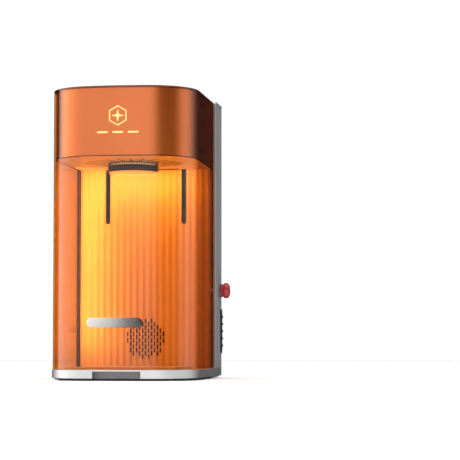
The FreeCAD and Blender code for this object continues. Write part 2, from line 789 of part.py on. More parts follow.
def lens_ring():
    """Flange with grip notches that holds the lens under the head."""
    body = new_body("lens_ring")
    centre = (0, LENS_Y)
    span = (S["head_low"] - 6, S["head_low"])
    pad(body, "XY", span, circles([(0, 0)], S["lens_r"] - 0.5), centre)
    pocket(body, "XY", span, circles([(0, 0)], S["lens_r"] - 8), centre)
    edge = S["lens_r"] - 0.5
    notch = pocket(body, "XY", span, rectangle((-1.1, 1.1), (edge - 1.8, edge + 2)), centre)
    round_pattern(body, notch, 40)


def lens_barrel():
    """Black barrel, chamfered at its lower edge, with a thinner neck up into the head."""
    body = new_body("lens_barrel")
    radius = S["lens_r"]
    neck = radius - 8.2
    low = S["lens_low"] + S["lens_show"]
    flange = S["head_low"] - 6
    top = S["head_low"] + 12
    sketch = sketch_on(body, "YZ", 0, outline([
        (0, low), (radius - 2, low), (radius, low + 2.5), (radius, flange),
        (neck, flange), (neck, top), (0, top),
    ]), (LENS_Y, 0))
    turn = body.newObject("PartDesign::Revolution", "barrel_turn")
    turn.Profile = sketch
    turn.ReferenceAxis = (sketch, ["V_Axis"])
    turn.Angle = 360
    pocket(body, "XY", (low, low + 3), circles([(0, 0)], radius - 5), (0, LENS_Y))
    pocket(body, "XY", (low, top), circles([(0, 0)], radius - 12), (0, LENS_Y))


def ball(centre, radius):
    sphere = doc.addObject("Part::Sphere", "ball")
    sphere.Radius = radius
    for axis, value in zip("xyz", centre):
        bind(sphere, f"Placement.Base.{axis}", value)
    return sphere


def lens_glass():
    """Round front element of the field lens, gently domed downwards, seated in the barrel."""
    low = S["lens_low"]
    rim = low + S["lens_show"]
    front = rod("z", (0, LENS_Y), S["lens_r"] - 2.4, (low, rim))
    seat = rod("z", (0, LENS_Y), S["lens_r"] - 5.05, (rim, rim + 3))
    dome_r = 500.0
    keep("lens_glass", common(fuse(front, seat), ball((0, LENS_Y, low + dome_r), dome_r)))


def galvo_block():
    """Aluminium block that holds both mirrors above the lens."""
    z = (S["head_low"] + 16.6, S["head_low"] + 66.6)
    outer = block((-40.0, 40.0), (LENS_Y - 40, LENS_Y + 40), z)
    cavity = block((-21.0, 21.0), (LENS_Y - 22, LENS_Y + 34), (z[0] - 1, z[0] + 42))
    top_bore = rod("z", (0, WALL - S["beam_y"]), 12.05, (z[0] + 30, z[1] + 1))
    side_bore = rod("x", (WALL - S["scan_y"], S["scan_z"]), 12.05, (15.0, 41.0))
    beam_bore = rod("x", (WALL - S["beam_y"], S["scan_z"]), 5.0, (-41.0, -15.0))
    keep("galvo_block", cut(outer, cavity, top_bore, side_bore, beam_bore))


def galvo_motors():
    """The two scanner motors, each bored for its mirror's shaft."""
    upper = rod("z", (0, WALL - S["beam_y"]), 12.0, (S["scan_z"] + 22.5, S["scan_z"] + 70))
    upper_bore = rod("z", (0, WALL - S["beam_y"]), S["mirror_shaft_r"] + S["run_gap"],
                     (S["scan_z"] + 22, S["scan_z"] + 42))
    side = rod("x", (WALL - S["scan_y"], S["scan_z"]), 12.0, (21.5, 76.0))
    side_bore = rod("x", (WALL - S["scan_y"], S["scan_z"]), S["mirror_shaft_r"] + S["run_gap"], (21.0, 41.0))
    keep("galvo_motors", group(cut(upper, upper_bore), cut(side, side_bore)))


def galvo_mirrors():
    """Two small mirror plates on their shafts, each turned 45 degrees to the beam."""
    shaft_r = float(S["mirror_shaft_r"])
    plate = Part.makeBox(14, 1.6, 18, Vector(-7, -0.8, -9))
    shaft = Part.makeCylinder(shaft_r, 32, Vector(0, 0, 8))
    first = plate.fuse(shaft).removeSplitter()
    first.rotate(Vector(), Vector(0, 0, 1), 45)
    coded("galvo_mirror_x", first, Placement(Vector(0, WALL - S["beam_y"], S["scan_z"]), Rotation()))
    plate = Part.makeBox(22, 1.6, 16, Vector(-11, -0.8, -8))
    shaft = Part.makeCylinder(shaft_r, 28, Vector(10, 0, 0), Vector(1, 0, 0))
    second = plate.fuse(shaft).removeSplitter()
    second.rotate(Vector(), Vector(1, 0, 0), 45)
    coded("galvo_mirror_y", second, Placement(Vector(0, WALL - S["scan_y"], S["scan_z"]), Rotation()))


def laser_module():
    """Finned laser source beside the mirrors, with its aperture facing them."""
    y = WALL - S["beam_y"]
    z = S["scan_z"]
    body = block((-108.0, -50.0), (y - 26, y + 26), (z - 20, z + 24))
    nose = rod("x", (y, z), 8.0, (-51.0, -40.5))
    fins = [block((-108.0, -50.0), (y - 26 + 8 * i, y - 22 + 8 * i), (z + 23, z + 40)) for i in range(7)]
    bore = rod("x", (y, z), 3.0, (-60.0, -40.0))
    keep("laser_module", cut(fuse(body, nose, *fins), bore))


def head_screws():
    """Domed black side screws of the head shell."""
    face = S["half_width"] - S["head_inset"]
    y = WALL - S["head_screw_y"]
    tip = face + 2.1
    dome_r = 11.0
    screws = []
    for side in SIDES:
        for z in (S["head_screw_low"], S["head_screw_high"]):
            stub = rod("x", (y, z), 5.0, mirrored(side, face, tip))
            screws.append(common(stub, ball((side * (tip - dome_r), y, z), dome_r)))
    keep("head_screws", group(*screws))


def focus_badge():
    """Raised generic mark on the head: a hexagon round a four-point spark, over three dashes."""
    emblem = doc.addObject("PartDesign::Body", "emblem")
    z = S["badge_z"]
    pad(emblem, "XZ", FRONT, outline(star_points(6, 17.0, 17.0, z)))
    pocket(emblem, "XZ", FRONT, outline(star_points(6, 15.2, 15.2, z)))
    pad(emblem, "XZ", FRONT, outline(star_points(4, 11.0, 2.6, z)))
    dash = S["badge_dash_z"]
    for x in (-26.0, 0.0, 26.0):
        pad(emblem, "XZ", FRONT, pill((x - 9, x + 9), (dash, dash + 2.6)))
    skin = doc.addObject("PartDesign::Body", "badge_skin")
    band = (dash - 5, z + 30)
    pad(skin, "XY", band, hood_plan(S["head_inset"] - 0.4, HEAD_REAR))
    pocket(skin, "XY", band, hood_plan(S["head_inset"], HEAD_REAR + 1))
    keep("focus_badge", common(emblem, skin))


def settled(value):
    """A coordinate without rounding dust."""
    return round(value, 6) or 0.0


def star_points(count, outer, inner, z):
    """Corners of a star, or of a polygon where both radii are the same."""
    steps = count if outer == inner else 2 * count
    points = []
    for i in range(steps):
        angle = math.pi / 2 + 2 * math.pi * i / steps
        radius = outer if i % 2 == 0 or outer == inner else inner
        points.append((settled(radius * math.cos(angle)), z + radius * math.sin(angle)))
    return points


def light_bar():
    """Slim lamp under the head's rear edge."""
    y = HEAD_REAR - S["head_skin"]
    keep("light_bar", block((-62.0, 62.0), (y - 10, y - 2), (S["head_low"] - 1.5, S["head_low"])))


# ---------------------------------------------------------------- focus drive

def carriage():
    """Arms through the wall's slots, the plate behind it, and the rail blocks."""
    arms = []
    for side in SIDES:
        x = mirrored(side, S["slot_x"] - 3, S["slot_x"] + 3)
        arms.append(block(x, (HEAD_REAR, WALL + 21), (S["head_low"] + 12, S["head_low"] + 92)))
    keep("carriage_arms", group(*arms))
    plate = block((-104.0, 104.0), (WALL + 21, WALL + 27), (S["head_low"] + 7, S["head_low"] + 97))
    window = block((-20.0, 20.0), (WALL + 20, WALL + 28), (S["head_low"] + 32, S["head_low"] + 72))
    keep("carriage_plate", cut(plate, window))
    blocks = []
    for side in SIDES:
        for low in (S["head_low"] + 9, S["head_low"] + 60):
            x = mirrored(side, S["rail_x"] - 13.5, S["rail_x"] + 13.5)
            rail = mirrored(side, S["rail_x"] - 6.15, S["rail_x"] + 6.15)
            body = block(x, (WALL + 27, SPINE - 3), (low, low + 35))
            blocks.append(cut(body, block(rail, (SPINE - 8.15, SPINE - 2), (low - 1, low + 36))))
    keep("rail_blocks", group(*blocks))


def linear_rails():
    """Two guide rails on the spine plate."""
    rails = []
    for side in SIDES:
        x = mirrored(side, S["rail_x"] - 6, S["rail_x"] + 6)
        rails.append(block(x, (SPINE - 8, SPINE), (270.0, 482.0)))
    keep("linear_rails", group(*rails))


def lead_nut():
    """Nut block behind the carriage plate, with a plain bore for the screw."""
    x = -S["screw_x"]
    z = (S["head_low"] + 41.6, S["head_low"] + 66.6)
    body = block((x - 12, x + 12), (WALL + 27, SPINE - 0.6), z)
    bore = rod("z", (x, DRIVE_Y), S["screw_r"] + S["run_gap"], (z[0] - 1, z[1] + 1))
    keep("lead_nut", cut(body, bore))


def screw_bearings():
    """Bearing blocks on the spine plate, above and below the carriage's travel."""
    blocks = []
    x = -S["screw_x"]
    for low in (196.0, 473.0):
        body = block((x - 12, x + 12), (SPINE - 16, SPINE), (low, low + 10))
        blocks.append(cut(body, rod("z", (x, DRIVE_Y), S["screw_r"] + S["run_gap"], (low - 1, low + 11))))
    keep("screw_bearings", group(*blocks))


def gear_bracket():
    """Bracket on the left post that holds the screw just above the mitre gears."""
    x = -S["screw_x"]
    low = S["drive_z"] + 20
    shelf = block((-S["post_in"], x + 10), (DRIVE_Y - 9, DRIVE_Y + 9), (low, low + 6))
    ear = block((-S["post_in"], -S["post_in"] + 4), (DRIVE_Y - 9, DRIVE_Y + 9), (low, low + 28))
    bore = rod("z", (x, DRIVE_Y), S["screw_r"] + S["run_gap"], (low - 1, low + 7))
    keep("gear_bracket", cut(fuse(shelf, ear), bore))


def lead_screw():
    """Focus screw, its thread left plain, from the mitre gear to the top bearing."""
    gear_top = S["drive_z"] + S["gear_pitch_r"] + 3
    keep("lead_screw", rod("z", (-S["screw_x"], DRIVE_Y), S["screw_r"], (gear_top, 483.0)))


def shaft_bushes():
    """Flanged bush that carries the knob's shaft through the left post."""
    inner = -S["post_in"]
    sleeve = rod("x", (DRIVE_Y, S["drive_z"]), 5.9, (-BASE_HALF - 0.6, inner + 2))
    flange = rod("x", (DRIVE_Y, S["drive_z"]), 9.0, (inner, inner + 2))
    bore = rod("x", (DRIVE_Y, S["drive_z"]), S["screw_r"] + S["run_gap"], (-BASE_HALF - 2, inner + 3))
    keep("shaft_bush", cut(fuse(sleeve, flange), bore))


def focus_shaft():
    """Steel shaft from the knob to its mitre gear."""
    gear_back = -S["screw_x"] - S["gear_pitch_r"] - 3
    keep("focus_shaft", rod("x", (DRIVE_Y, S["drive_z"]), S["screw_r"], (-BASE_HALF - 12, gear_back)))


def focus_knob():
    """Round focus knob with grip flutes and a shallow dished face."""
    body = new_body("focus_knob")
    tip = -S["side_reach"]
    root = -BASE_HALF - 0.9
    centre = (DRIVE_Y, S["drive_z"])
    pad(body, "YZ", (tip, root), circles([(0, 0)], S["knob_r"]), centre)
    pocket(body, "YZ", (tip, tip + 1.2), circles([(0, 0)], S["knob_r"] - 4), centre)
    pocket(body, "YZ", (-BASE_HALF - 12, root), circles([(0, 0)], S["screw_r"]), centre)
    groove = pocket(body, "YZ", (tip, root - 3), circles([(0, S["knob_r"] + 0.7)], 1.4), centre)
    round_pattern(body, groove, 24)


def mitre_gear(phase):
    """Straight-toothed 1:1 bevel gear: apex at the origin, axis up, phase in tooth pitches."""
    pitch_r = float(S["gear_pitch_r"])
    teeth = int(S["gear_teeth"])
    module = 2 * pitch_r / teeth
    face = 5.0
    addendum = 0.72 * module
    dedendum = 0.95 * module
    half_pitch = 0.52 * module
    slope = math.tan(math.radians(22))
    lift = math.sqrt(0.5)

    def on_cone(out, across, scale):
        """Point at a height out from the pitch cone and across the tooth, scaled to the apex."""
        return Vector(pitch_r + out * lift, across, pitch_r - out * lift) * scale

    def tooth_wire(scale):
        heights = ((-dedendum - 0.5, 1), (addendum, 1), (addendum, -1), (-dedendum - 0.5, -1))
        points = [on_cone(out, side * (half_pitch - out * slope), scale) for out, side in heights]
        return Part.makePolygon(points + points[:1])

    small = 1 - face / (pitch_r * math.sqrt(2))
    tooth = Part.makeLoft([tooth_wire(1.0), tooth_wire(small)], True, True)
    root_far = on_cone(-dedendum, 0, 1.0)
    root_near = on_cone(-dedendum, 0, small)
    profile = Part.makePolygon([
        Vector(0, 0, root_near.z), root_near, root_far,
        Vector(root_far.x - 1.5, 0, pitch_r + 3), Vector(0, 0, pitch_r + 3), Vector(0, 0, root_near.z),
    ])
    gear = Part.Face(profile).revolve(Vector(), Vector(0, 0, 1), 360)
    gear = Part.Solid(gear.Shells[0]) if gear.ShapeType != "Solid" else gear
    step = 360.0 / teeth
    ring = []
    for i in range(teeth):
        copy = tooth.copy()
        copy.rotate(Vector(), Vector(0, 0, 1), (i + phase) * step)
        ring.append(copy)
    return gear.fuse(ring).removeSplitter()


def drive_gears():
    """Mitre gears where the knob's shaft meets the screw; they mesh tooth to gap."""
    apex = Vector(-float(S["screw_x"]), float(DRIVE_Y), float(S["drive_z"]))
    coded("screw_gear", mitre_gear(0), Placement(apex, Rotation(Vector(0, 0, 1), 180)))
    coded("knob_gear", mitre_gear(0.5), Placement(apex, Rotation(Vector(0, 1, 0), -90)))


# ---------------------------------------------------------------- exhaust

def fan_housing():
    """Square fan frame with a round bore and a bearing spider at the back."""
    body = new_body("fan_housing")
    half = S["fan_size"] / 2
    start = WALL + S["wall_t"]
    span = (start, start + S["fan_t"])
    centre = (0, S["vent_z"])
    pad(body, "XZ", span, rectangle((-half, half), (-half, half)), centre)
    pocket(body, "XZ", span, circles([(0, 0)], S["fan_r"]), centre)
    spider = (start + S["fan_t"] - 3, start + S["fan_t"])
    pitch = S["fan_pitch"] / 2
    screws = [(sx * pitch, sz * pitch) for sx in SIDES for sz in SIDES]
    pad(body, "XZ", spider, circles([(0, 0)], 17.0), centre)
    for angle in range(3):
        pad(body, "XZ", spider, outline(spoke_points(90 + 120 * angle)), centre)
    pocket(body, "XZ", spider, circles([(0, 0)], 2.0 + S["run_gap"]), centre)
    pocket(body, "XZ", span, circles(screws, 2.2), centre)


def spoke_points(angle):
    """Corners of a straight spoke from the hub to the frame."""
    along = Vector(math.cos(math.radians(angle)), math.sin(math.radians(angle)), 0)
    aside = Vector(-along.y, along.x, 0) * 2.5
    corners = [along * 14 - aside, along * 39 - aside, along * 39 + aside, along * 14 + aside]
    return [(settled(c.x), settled(c.y)) for c in corners]


def fan_rotor():
    """Fan hub with seven pitched blades and its stub shaft."""
    start = float(WALL + S["wall_t"])
    hub = Part.makeCylinder(16, 18, Vector(0, start + 3, 0), Vector(0, 1, 0))
    shaft = Part.makeCylinder(2, 24.5, Vector(0, start + 3, 0), Vector(0, 1, 0))
    tip_r = float(S["fan_r"]) - 1.6
    blades = []
    for i in range(7):
        sections = []
        for radius, pitch in ((14.0, 52), (tip_r, 32)):
            half = 0.5 * 16 / math.sin(math.radians(pitch)) * 0.9
            chord = Vector(math.cos(math.radians(pitch)), math.sin(math.radians(pitch)), 0) * half
            thick = Vector(-chord.y, chord.x, 0).normalize() * 0.7
            middle = Vector(0, start + 12, radius)
            corners = [Vector(chord.x * a + thick.x * b, chord.y * a + thick.y * b, 0) + middle
                       for a, b in ((-1, -1), (1, -1), (1, 1), (-1, 1))]
            sections.append(Part.makePolygon(corners + corners[:1]))
        blade = Part.makeLoft(sections, True, True)
        blade.rotate(Vector(), Vector(0, 1, 0), i * 360 / 7)
        blades.append(blade)
    limit = Part.makeCylinder(tip_r, 18, Vector(0, start + 3, 0), Vector(0, 1, 0))
    ring = [blade.common(limit) for blade in blades]
    rotor = hub.fuse(ring + [shaft]).removeSplitter()
    coded("fan_rotor", rotor, Placement(Vector(0, 0, S["vent_z"]), Rotation()))


def exhaust():
    """Duct from the fan to the panel, and the collar that a hose slides over."""
    centre = (0, S["vent_z"])
    start = WALL + S["wall_t"] + S["fan_t"]
    keep("exhaust_duct", tube("y", centre, S["duct_r"], S["duct_r"] - S["duct_wall"], (start, PANEL)))
    flange = rod("y", centre, S["collar_r"] + 6, (BACK, BACK + 2))
    spigot = rod("y", centre, S["collar_r"], (BACK, BACK + S["collar_reach"]))
    bore = rod("y", centre, S["collar_r"] - 2.5, (BACK - 1, BACK + S["collar_reach"] + 1))
    keep("duct_collar", cut(fuse(flange, spigot), bore))


# ---------------------------------------------------------------- electrics

def power_inlet():
    """Mains inlet: flanged shell, an open socket and three blades."""
    x = S["inlet_x"]
    z = S["inlet_z"]
    shell = block((x - 13.8, x + 13.8), (BACK - 26, BACK), (z - 9.8, z + 9.8))
    flange = block((x - 20, x + 20), (BACK, BACK + 2.5), (z - 13, z + 13))
    socket = block((x - 12, x + 12), (BACK - 18, BACK + 3), (z - 8, z + 8))
    pins = [block((x + dx - 2, x + dx + 2), (BACK - 19, BACK - 6), (z + dz - 1, z + dz + 1))
            for dx, dz in ((-7, -2), (0, 2), (7, -2))]
    keep("power_inlet", fuse(cut(fuse(shell, flange), socket), *pins))


def rocker_switch():
    """Switch frame and its rocking cap on a pivot pin, which rests tipped to its off side."""
    x = S["inlet_x"]
    z = S["rocker_z"]
    shell = block((x - 9.8, x + 9.8), (BACK - 16, BACK), (z - 6.8, z + 6.8))
    bezel = block((x - 12, x + 12), (BACK, BACK + 1.6), (z - 9, z + 9))
    hollow = block((x - 8.2, x + 8.2), (BACK - 8, BACK + 2), (z - 5.4, z + 5.4))
    pin_r = S["rocker_pin_r"]
    pivot = rod("x", (BACK, z), pin_r + S["run_gap"], (x - 8.8, x + 8.8))
    keep("switch_frame", cut(fuse(shell, bezel), hollow, pivot))
    cap = Part.makeBox(14.6, 5.0, 9.4, Vector(-7.3, -1.6, -4.7))
    roof = Part.makeCylinder(24, 14.6, Vector(-7.3, -21.0, 0), Vector(1, 0, 0))
    pin = Part.makeCylinder(float(pin_r), 17.2, Vector(-8.6, 0, 0), Vector(1, 0, 0))
    cap = cap.common(roof).fuse(pin).removeSplitter()
    cap.rotate(Vector(), Vector(1, 0, 0), -9)
    coded("power_rocker", cap, Placement(Vector(float(x), float(BACK), float(z)), Rotation()))


def power_supply():
    """Slim power supply behind the spine plate."""
    x = (-100.0, -8.0)
    y = (SPINE + S["spine_t"] + 2, PANEL - 2)
    z = (S["boards_low"], S["boards_high"])
    case = block(x, y, z)
    hollow = block((x[0] + 1.2, x[1] - 1.2), (y[0] + 1.2, y[1] - 1.2), (z[0] + 1.2, z[1] - 1.2))
    core = block((x[0] + 14, x[1] - 14), (y[0] + 1, y[1] - 6), (z[0] + 20, z[1] - 14))
    keep("power_supply", fuse(cut(case, hollow), core))


CHIPS = (
    (20.0, 340.0, 24.0, 3.0),
    (60.0, 350.0, 18.0, 9.0),
    (22.0, 400.0, 16.0, 6.0),
    (58.0, 410.0, 28.0, 4.0),
)


def control_board():
    """Circuit board on four spacers, with its larger parts."""
    y = SPINE + S["spine_t"]
    board = block((4.0, 102.0), (y + 6, y + 7.6), (S["boards_low"], S["boards_high"]))
    spacer_z = (S["boards_low"] + 10, S["boards_high"] - 10)
    spacers = [rod("y", (x, z), 3.0, (y, y + 6.5)) for x in (12.0, 94.0) for z in spacer_z]
    chips = []
    for x, z, width, thick in CHIPS:
        chips.append(block((x, x + width), (y + 7.5, y + 7.5 + thick), (z, z + width)))
    keep("control_board", fuse(board, *spacers, *chips))


def stop_button():
    """Emergency stop: collar and barrel, switch block, sprung stem and mushroom cap."""
    face = BASE_HALF
    centre = (STOP_Y, S["stop_z"])
    collar = rod("x", centre, S["stop_collar_r"], (face, face + 3.6))
    barrel = rod("x", centre, S["stop_barrel_r"], (S["post_in"] - 3, face + 0.5))
    bore = rod("x", centre, STOP_SHANK_R + 0.1, (S["post_in"] - 4, face + 4))
    well = rod("x", centre, S["stop_r"] - 1.7, (face + 0.8, face + 4))
    keep("stop_collar", cut(fuse(collar, barrel), bore, well))
    inner = S["post_in"] - 3
    z = S["stop_z"]
    keep("stop_switch", block((inner - 20, inner), (STOP_Y - 13, STOP_Y + 13), (z - 14, z + 14)))
    stem = rod("x", centre, STOP_SHANK_R, (inner + 5, face + 4.2))
    pivot = rod("x", centre, 3.0, (face + 4, face + 12))
    keep("stop_stem", fuse(stem, pivot))
    stop_cap(face)


def stop_cap(face):
    """Mushroom cap: a round neck that sinks into the collar, a flared rim and a shallow dome."""
    body = new_body("stop_cap")
    reach = S["side_reach"] - face
    rim = S["stop_r"]
    sketch = sketch_on(body, "XY", S["stop_z"], outline([
        (4.5, 0), (4.5, rim - 2.2), (8.6, rim - 2.6), (10.4, rim - 2.1), (12.0, rim - 0.5),
        (14.0, rim), (16.4, rim - 0.7), (18.0, rim - 2.6), (reach - 0.3, rim - 6), (reach, 0),
    ]), (face, STOP_Y))
    turn = body.newObject("PartDesign::Revolution", "cap_turn")
    turn.Profile = sketch
    turn.ReferenceAxis = (sketch, ["H_Axis"])
    turn.Angle = 360
    pocket(body, "YZ", (face + 4, face + 12.4), circles([(STOP_Y, S["stop_z"])], 3.0 + S["run_gap"]))


def side_louvre():
    """Black pill-shaped louvre on the right post."""
    body = new_body("side_louvre")
    y = WALL + S["louvre_y"]
    z = S["louvre_z"]
    face = BASE_HALF
    pad(body, "YZ", (face, face + 2.2), louvre_pill(S["louvre_w"], S["louvre_h"]))
    pocket(body, "YZ", (face, face + 2.2), louvre_pill(S["louvre_open_w"], S["louvre_open_h"]))
    for i in range(5):
        middle = z - 26 + 13 * i
        pad(body, "YZ", (face, face + 4.0), rectangle((y - 5.5, y + 5.5), (middle - 2, middle + 2)))


# ---------------------------------------------------------------- whole

def build():
    base_plate()
    under_plate()
    rubber_feet()
    work_plate()
    side_post(-1, "side_post_left")
    side_post(1, "side_post_right")
    column_cap()
    rear_panel()
    panel_screws()
    rear_wall()
    corner_seals()
    spine_plate()
    amber_cover()
    top_lid()
    grip_bar()
    grip_posts()
    grip_screws()
    guide_shoes()
    cover_sensor()
    head_shell()
    head_lid()
    head_sole()
    lens_ring()
    lens_barrel()
    lens_glass()
    galvo_block()
    galvo_motors()
    galvo_mirrors()
    laser_module()
    head_screws()
    focus_badge()
    light_bar()
    carriage()
    linear_rails()
    lead_nut()
    screw_bearings()
    gear_bracket()
    lead_screw()
    shaft_bushes()
    focus_shaft()
    focus_knob()
    drive_gears()
    fan_housing()
    fan_rotor()
    exhaust()
    power_inlet()
    rocker_switch()
    power_supply()
    control_board()
    stop_button()
    side_louvre()


def check_document():
    """Stops if any object failed, any pocket cut nothing, or a sub-part is not sound."""
    for thing in doc.Objects:
        bad = [flag for flag in thing.State if flag in ("Invalid", "Error")]
        if bad:
            raise RuntimeError(f"{thing.Name} ({thing.Label}): {bad}")
        if thing.TypeId == "PartDesign::Pocket":
            before = thing.BaseFeature.Shape.Volume
            if thing.Shape.Volume > before - 0.01:
                raise RuntimeError(f"{thing.Name} removes nothing")
    for thing in subparts:
        shape = thing.Shape
        if shape.isNull() or not shape.isValid() or not shape.Solids:
            raise RuntimeError(f"{thing.Label}: shape is null, invalid or has no solid")


def export_parts():
    os.makedirs("parts", exist_ok=True)
    for thing in subparts:
        thing.Shape.exportStep(f"parts/{thing.Label}.step")
    whole = Part.makeCompound([thing.Shape for thing in subparts]).BoundBox
    print(f"{len(subparts)} sub-parts, box {whole}")


build()
doc.recompute()
check_document()
export_parts()
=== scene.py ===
import json
import math

import bmesh
import bpy
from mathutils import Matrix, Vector


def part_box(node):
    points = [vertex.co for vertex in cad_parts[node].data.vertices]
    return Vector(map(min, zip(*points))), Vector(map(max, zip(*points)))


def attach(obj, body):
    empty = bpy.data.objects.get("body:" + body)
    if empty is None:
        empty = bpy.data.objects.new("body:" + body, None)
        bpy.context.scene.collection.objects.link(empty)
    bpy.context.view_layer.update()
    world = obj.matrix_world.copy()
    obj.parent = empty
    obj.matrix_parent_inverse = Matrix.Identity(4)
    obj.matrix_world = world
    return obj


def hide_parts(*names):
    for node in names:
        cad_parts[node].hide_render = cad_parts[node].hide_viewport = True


# Looks of the desktop laser engraver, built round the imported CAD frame. Metres, +Z up, -Y to the front.

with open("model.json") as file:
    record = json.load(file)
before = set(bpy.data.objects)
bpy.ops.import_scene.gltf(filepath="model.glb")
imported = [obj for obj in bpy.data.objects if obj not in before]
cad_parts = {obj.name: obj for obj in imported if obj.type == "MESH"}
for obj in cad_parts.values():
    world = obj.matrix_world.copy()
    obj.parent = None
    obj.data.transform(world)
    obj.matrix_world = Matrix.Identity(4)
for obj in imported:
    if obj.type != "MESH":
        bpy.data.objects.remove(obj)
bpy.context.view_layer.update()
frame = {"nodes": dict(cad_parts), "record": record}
nodes = frame["nodes"]

MM = 0.001
WALL_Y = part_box("rear_wall")[0].y
HEAD_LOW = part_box("head_shell")[0].z


# ---------------------------------------------------------------- node helpers

class Finish:
    """A node material with short helpers for its procedural inputs, all in metres of object space."""

    def __init__(self, name):
        self.material = bpy.data.materials.new(name)
        self.material.use_nodes = True
        self.tree = self.material.node_tree
        self.tree.nodes.clear()
        self.place = self.add("ShaderNodeTexCoord").outputs["Object"]

    def add(self, kind, **settings):
        node = self.tree.nodes.new(kind)
        for name, value in settings.items():
            setattr(node, name, value)
        return node

    def feed(self, socket, value):
        """Links a socket, or sets its plain value."""
        if isinstance(value, bpy.types.NodeSocket):
            self.tree.links.new(value, socket)
        elif value is not None:
            if isinstance(value, tuple) and len(value) == 3 and socket.type == "RGBA":
                value = (*value, 1.0)
            socket.default_value = value

    def maths(self, operation, first, second):
        node = self.add("ShaderNodeMath", operation=operation)
        for socket, value in zip(node.inputs, (first, second)):
            self.feed(socket, value)
        return node.outputs[0]

    def scaled(self, scale):
        """Object space stretched by a factor on each axis."""
        node = self.add("ShaderNodeVectorMath", operation="MULTIPLY")
        self.feed(node.inputs[0], self.place)
        node.inputs[1].default_value = scale
        return node.outputs[0]

    def noise(self, scale, detail=3.0, roughness=0.5, stretch=(1, 1, 1)):
        node = self.add("ShaderNodeTexNoise")
        self.feed(node.inputs["Vector"], self.scaled(stretch))
        node.inputs["Scale"].default_value = scale
        node.inputs["Detail"].default_value = detail
        node.inputs["Roughness"].default_value = roughness
        return node.outputs["Fac"]

    def cells(self, scale):
        node = self.add("ShaderNodeTexVoronoi")
        self.feed(node.inputs["Vector"], self.place)
        node.inputs["Scale"].default_value = scale
        return node.outputs["Distance"]

    def spread(self, value, low, high, out_low=0.0, out_high=1.0):
        """Maps low..high to out_low..out_high, and holds the ends."""
        node = self.add("ShaderNodeMapRange", clamp=True)
        for name, given in (("Value", value), ("From Min", low), ("From Max", high),
                            ("To Min", out_low), ("To Max", out_high)):
            self.feed(node.inputs[name], given)
        return node.outputs["Result"]

    def blend(self, share, first, second):
        """The first colour where share is 0, the second where it is 1."""
        node = self.add("ShaderNodeMix", data_type="RGBA")
        self.feed(node.inputs["Factor"], share)
        self.feed(node.inputs["A"], first)
        self.feed(node.inputs["B"], second)
        return node.outputs["Result"]

    def bump(self, height, distance, strength=1.0):
        node = self.add("ShaderNodeBump")
        node.inputs["Strength"].default_value = strength
        node.inputs["Distance"].default_value = distance
        self.feed(node.inputs["Height"], height)
        return node.outputs["Normal"]

    def edges(self, radius):
        """1 along convex and concave edges within the radius, 0 on flat faces."""
        soft = self.add("ShaderNodeBevel", samples=4)
        soft.inputs["Radius"].default_value = radius
        hard = self.add("ShaderNodeNewGeometry")
        dot = self.add("ShaderNodeVectorMath", operation="DOT_PRODUCT")
        self.feed(dot.inputs[0], soft.outputs["Normal"])
        self.feed(dot.inputs[1], hard.outputs["Normal"])
        return self.spread(dot.outputs["Value"], 0.99, 0.86)

    def surface(self, shader):
        output = self.add("ShaderNodeOutputMaterial")
        self.feed(output.inputs["Surface"], shader)
        return self.material

    def principled(self, **inputs):
        """A Principled shader; each name is a socket's, with _ for a space."""
        node = self.add("ShaderNodeBsdfPrincipled")
        for name, value in inputs.items():
            self.feed(node.inputs[name.replace("_", " ")], value)
        return node.outputs["BSDF"]


# ---------------------------------------------------------------- materials

def blasted_metal(name, colour, roughness, grain=1.0, metallic=1.0):
    """Bead-blasted, anodised aluminium: tiny pits, cloudy sheen and brighter rubbed edges."""
    f = Finish(name)
    pits = f.noise(2600, 2, 0.6)
    clouds = f.noise(18, 4, 0.55)
    rub = f.edges(0.0007)
    shade = f.blend(f.spread(clouds, 0.3, 0.7), tuple(c * 0.95 for c in colour), colour)
    shade = f.blend(f.maths("MULTIPLY", rub, 0.35), shade, tuple(min(1, c * 1.15) for c in colour))
    rough = f.maths("ADD", f.spread(pits, 0.3, 0.7, roughness - 0.05, roughness + 0.06),
                    f.maths("MULTIPLY", rub, -0.08))
    return f.surface(f.principled(
        Base_Color=shade, Metallic=metallic, Roughness=rough,
        Normal=f.bump(pits, 0.00006 * grain, 0.55),
    ))


def brushed_metal(name, colour, roughness, along=(1, 1, 1)):
    """Fine-brushed metal; the brush lines run along the axis with the smallest stretch."""
    f = Finish(name)
    lines = f.noise(900, 4, 0.7, along)
    smudge = f.noise(22, 3, 0.5)
    shade = f.blend(f.spread(lines, 0.3, 0.7), tuple(c * 0.9 for c in colour), colour)
    rough = f.maths("ADD", f.spread(lines, 0.25, 0.75, roughness - 0.05, roughness + 0.07),
                    f.spread(smudge, 0.4, 0.7, 0.0, 0.05))
    return f.surface(f.principled(
        Base_Color=shade, Metallic=1.0, Roughness=rough,
        Normal=f.bump(lines, 0.00003, 0.6),
    ))


def moulded_plastic(name, colour, roughness, grain=1500, depth=0.00003, coat=0.0):
    """Moulded plastic with a spark-eroded grain and slightly worn, shinier edges."""
    f = Finish(name)
    skin = f.noise(grain, 3, 0.6)
    patches = f.noise(40, 3, 0.5)
    rub = f.edges(0.0006)
    lifted = tuple(min(1.0, c * 1.35 + 0.012) for c in colour)
    shade = f.blend(f.spread(patches, 0.35, 0.7, 0.0, 0.35), colour, lifted)
    shade = f.blend(f.maths("MULTIPLY", rub, 0.3), shade, lifted)
    rough = f.maths("SUBTRACT", f.spread(skin, 0.3, 0.7, roughness - 0.06, roughness + 0.08),
                    f.maths("MULTIPLY", rub, 0.1))
    return f.surface(f.principled(
        Base_Color=shade, Roughness=rough, Coat_Weight=coat,
        Normal=f.bump(skin, depth, 0.6),
    ))


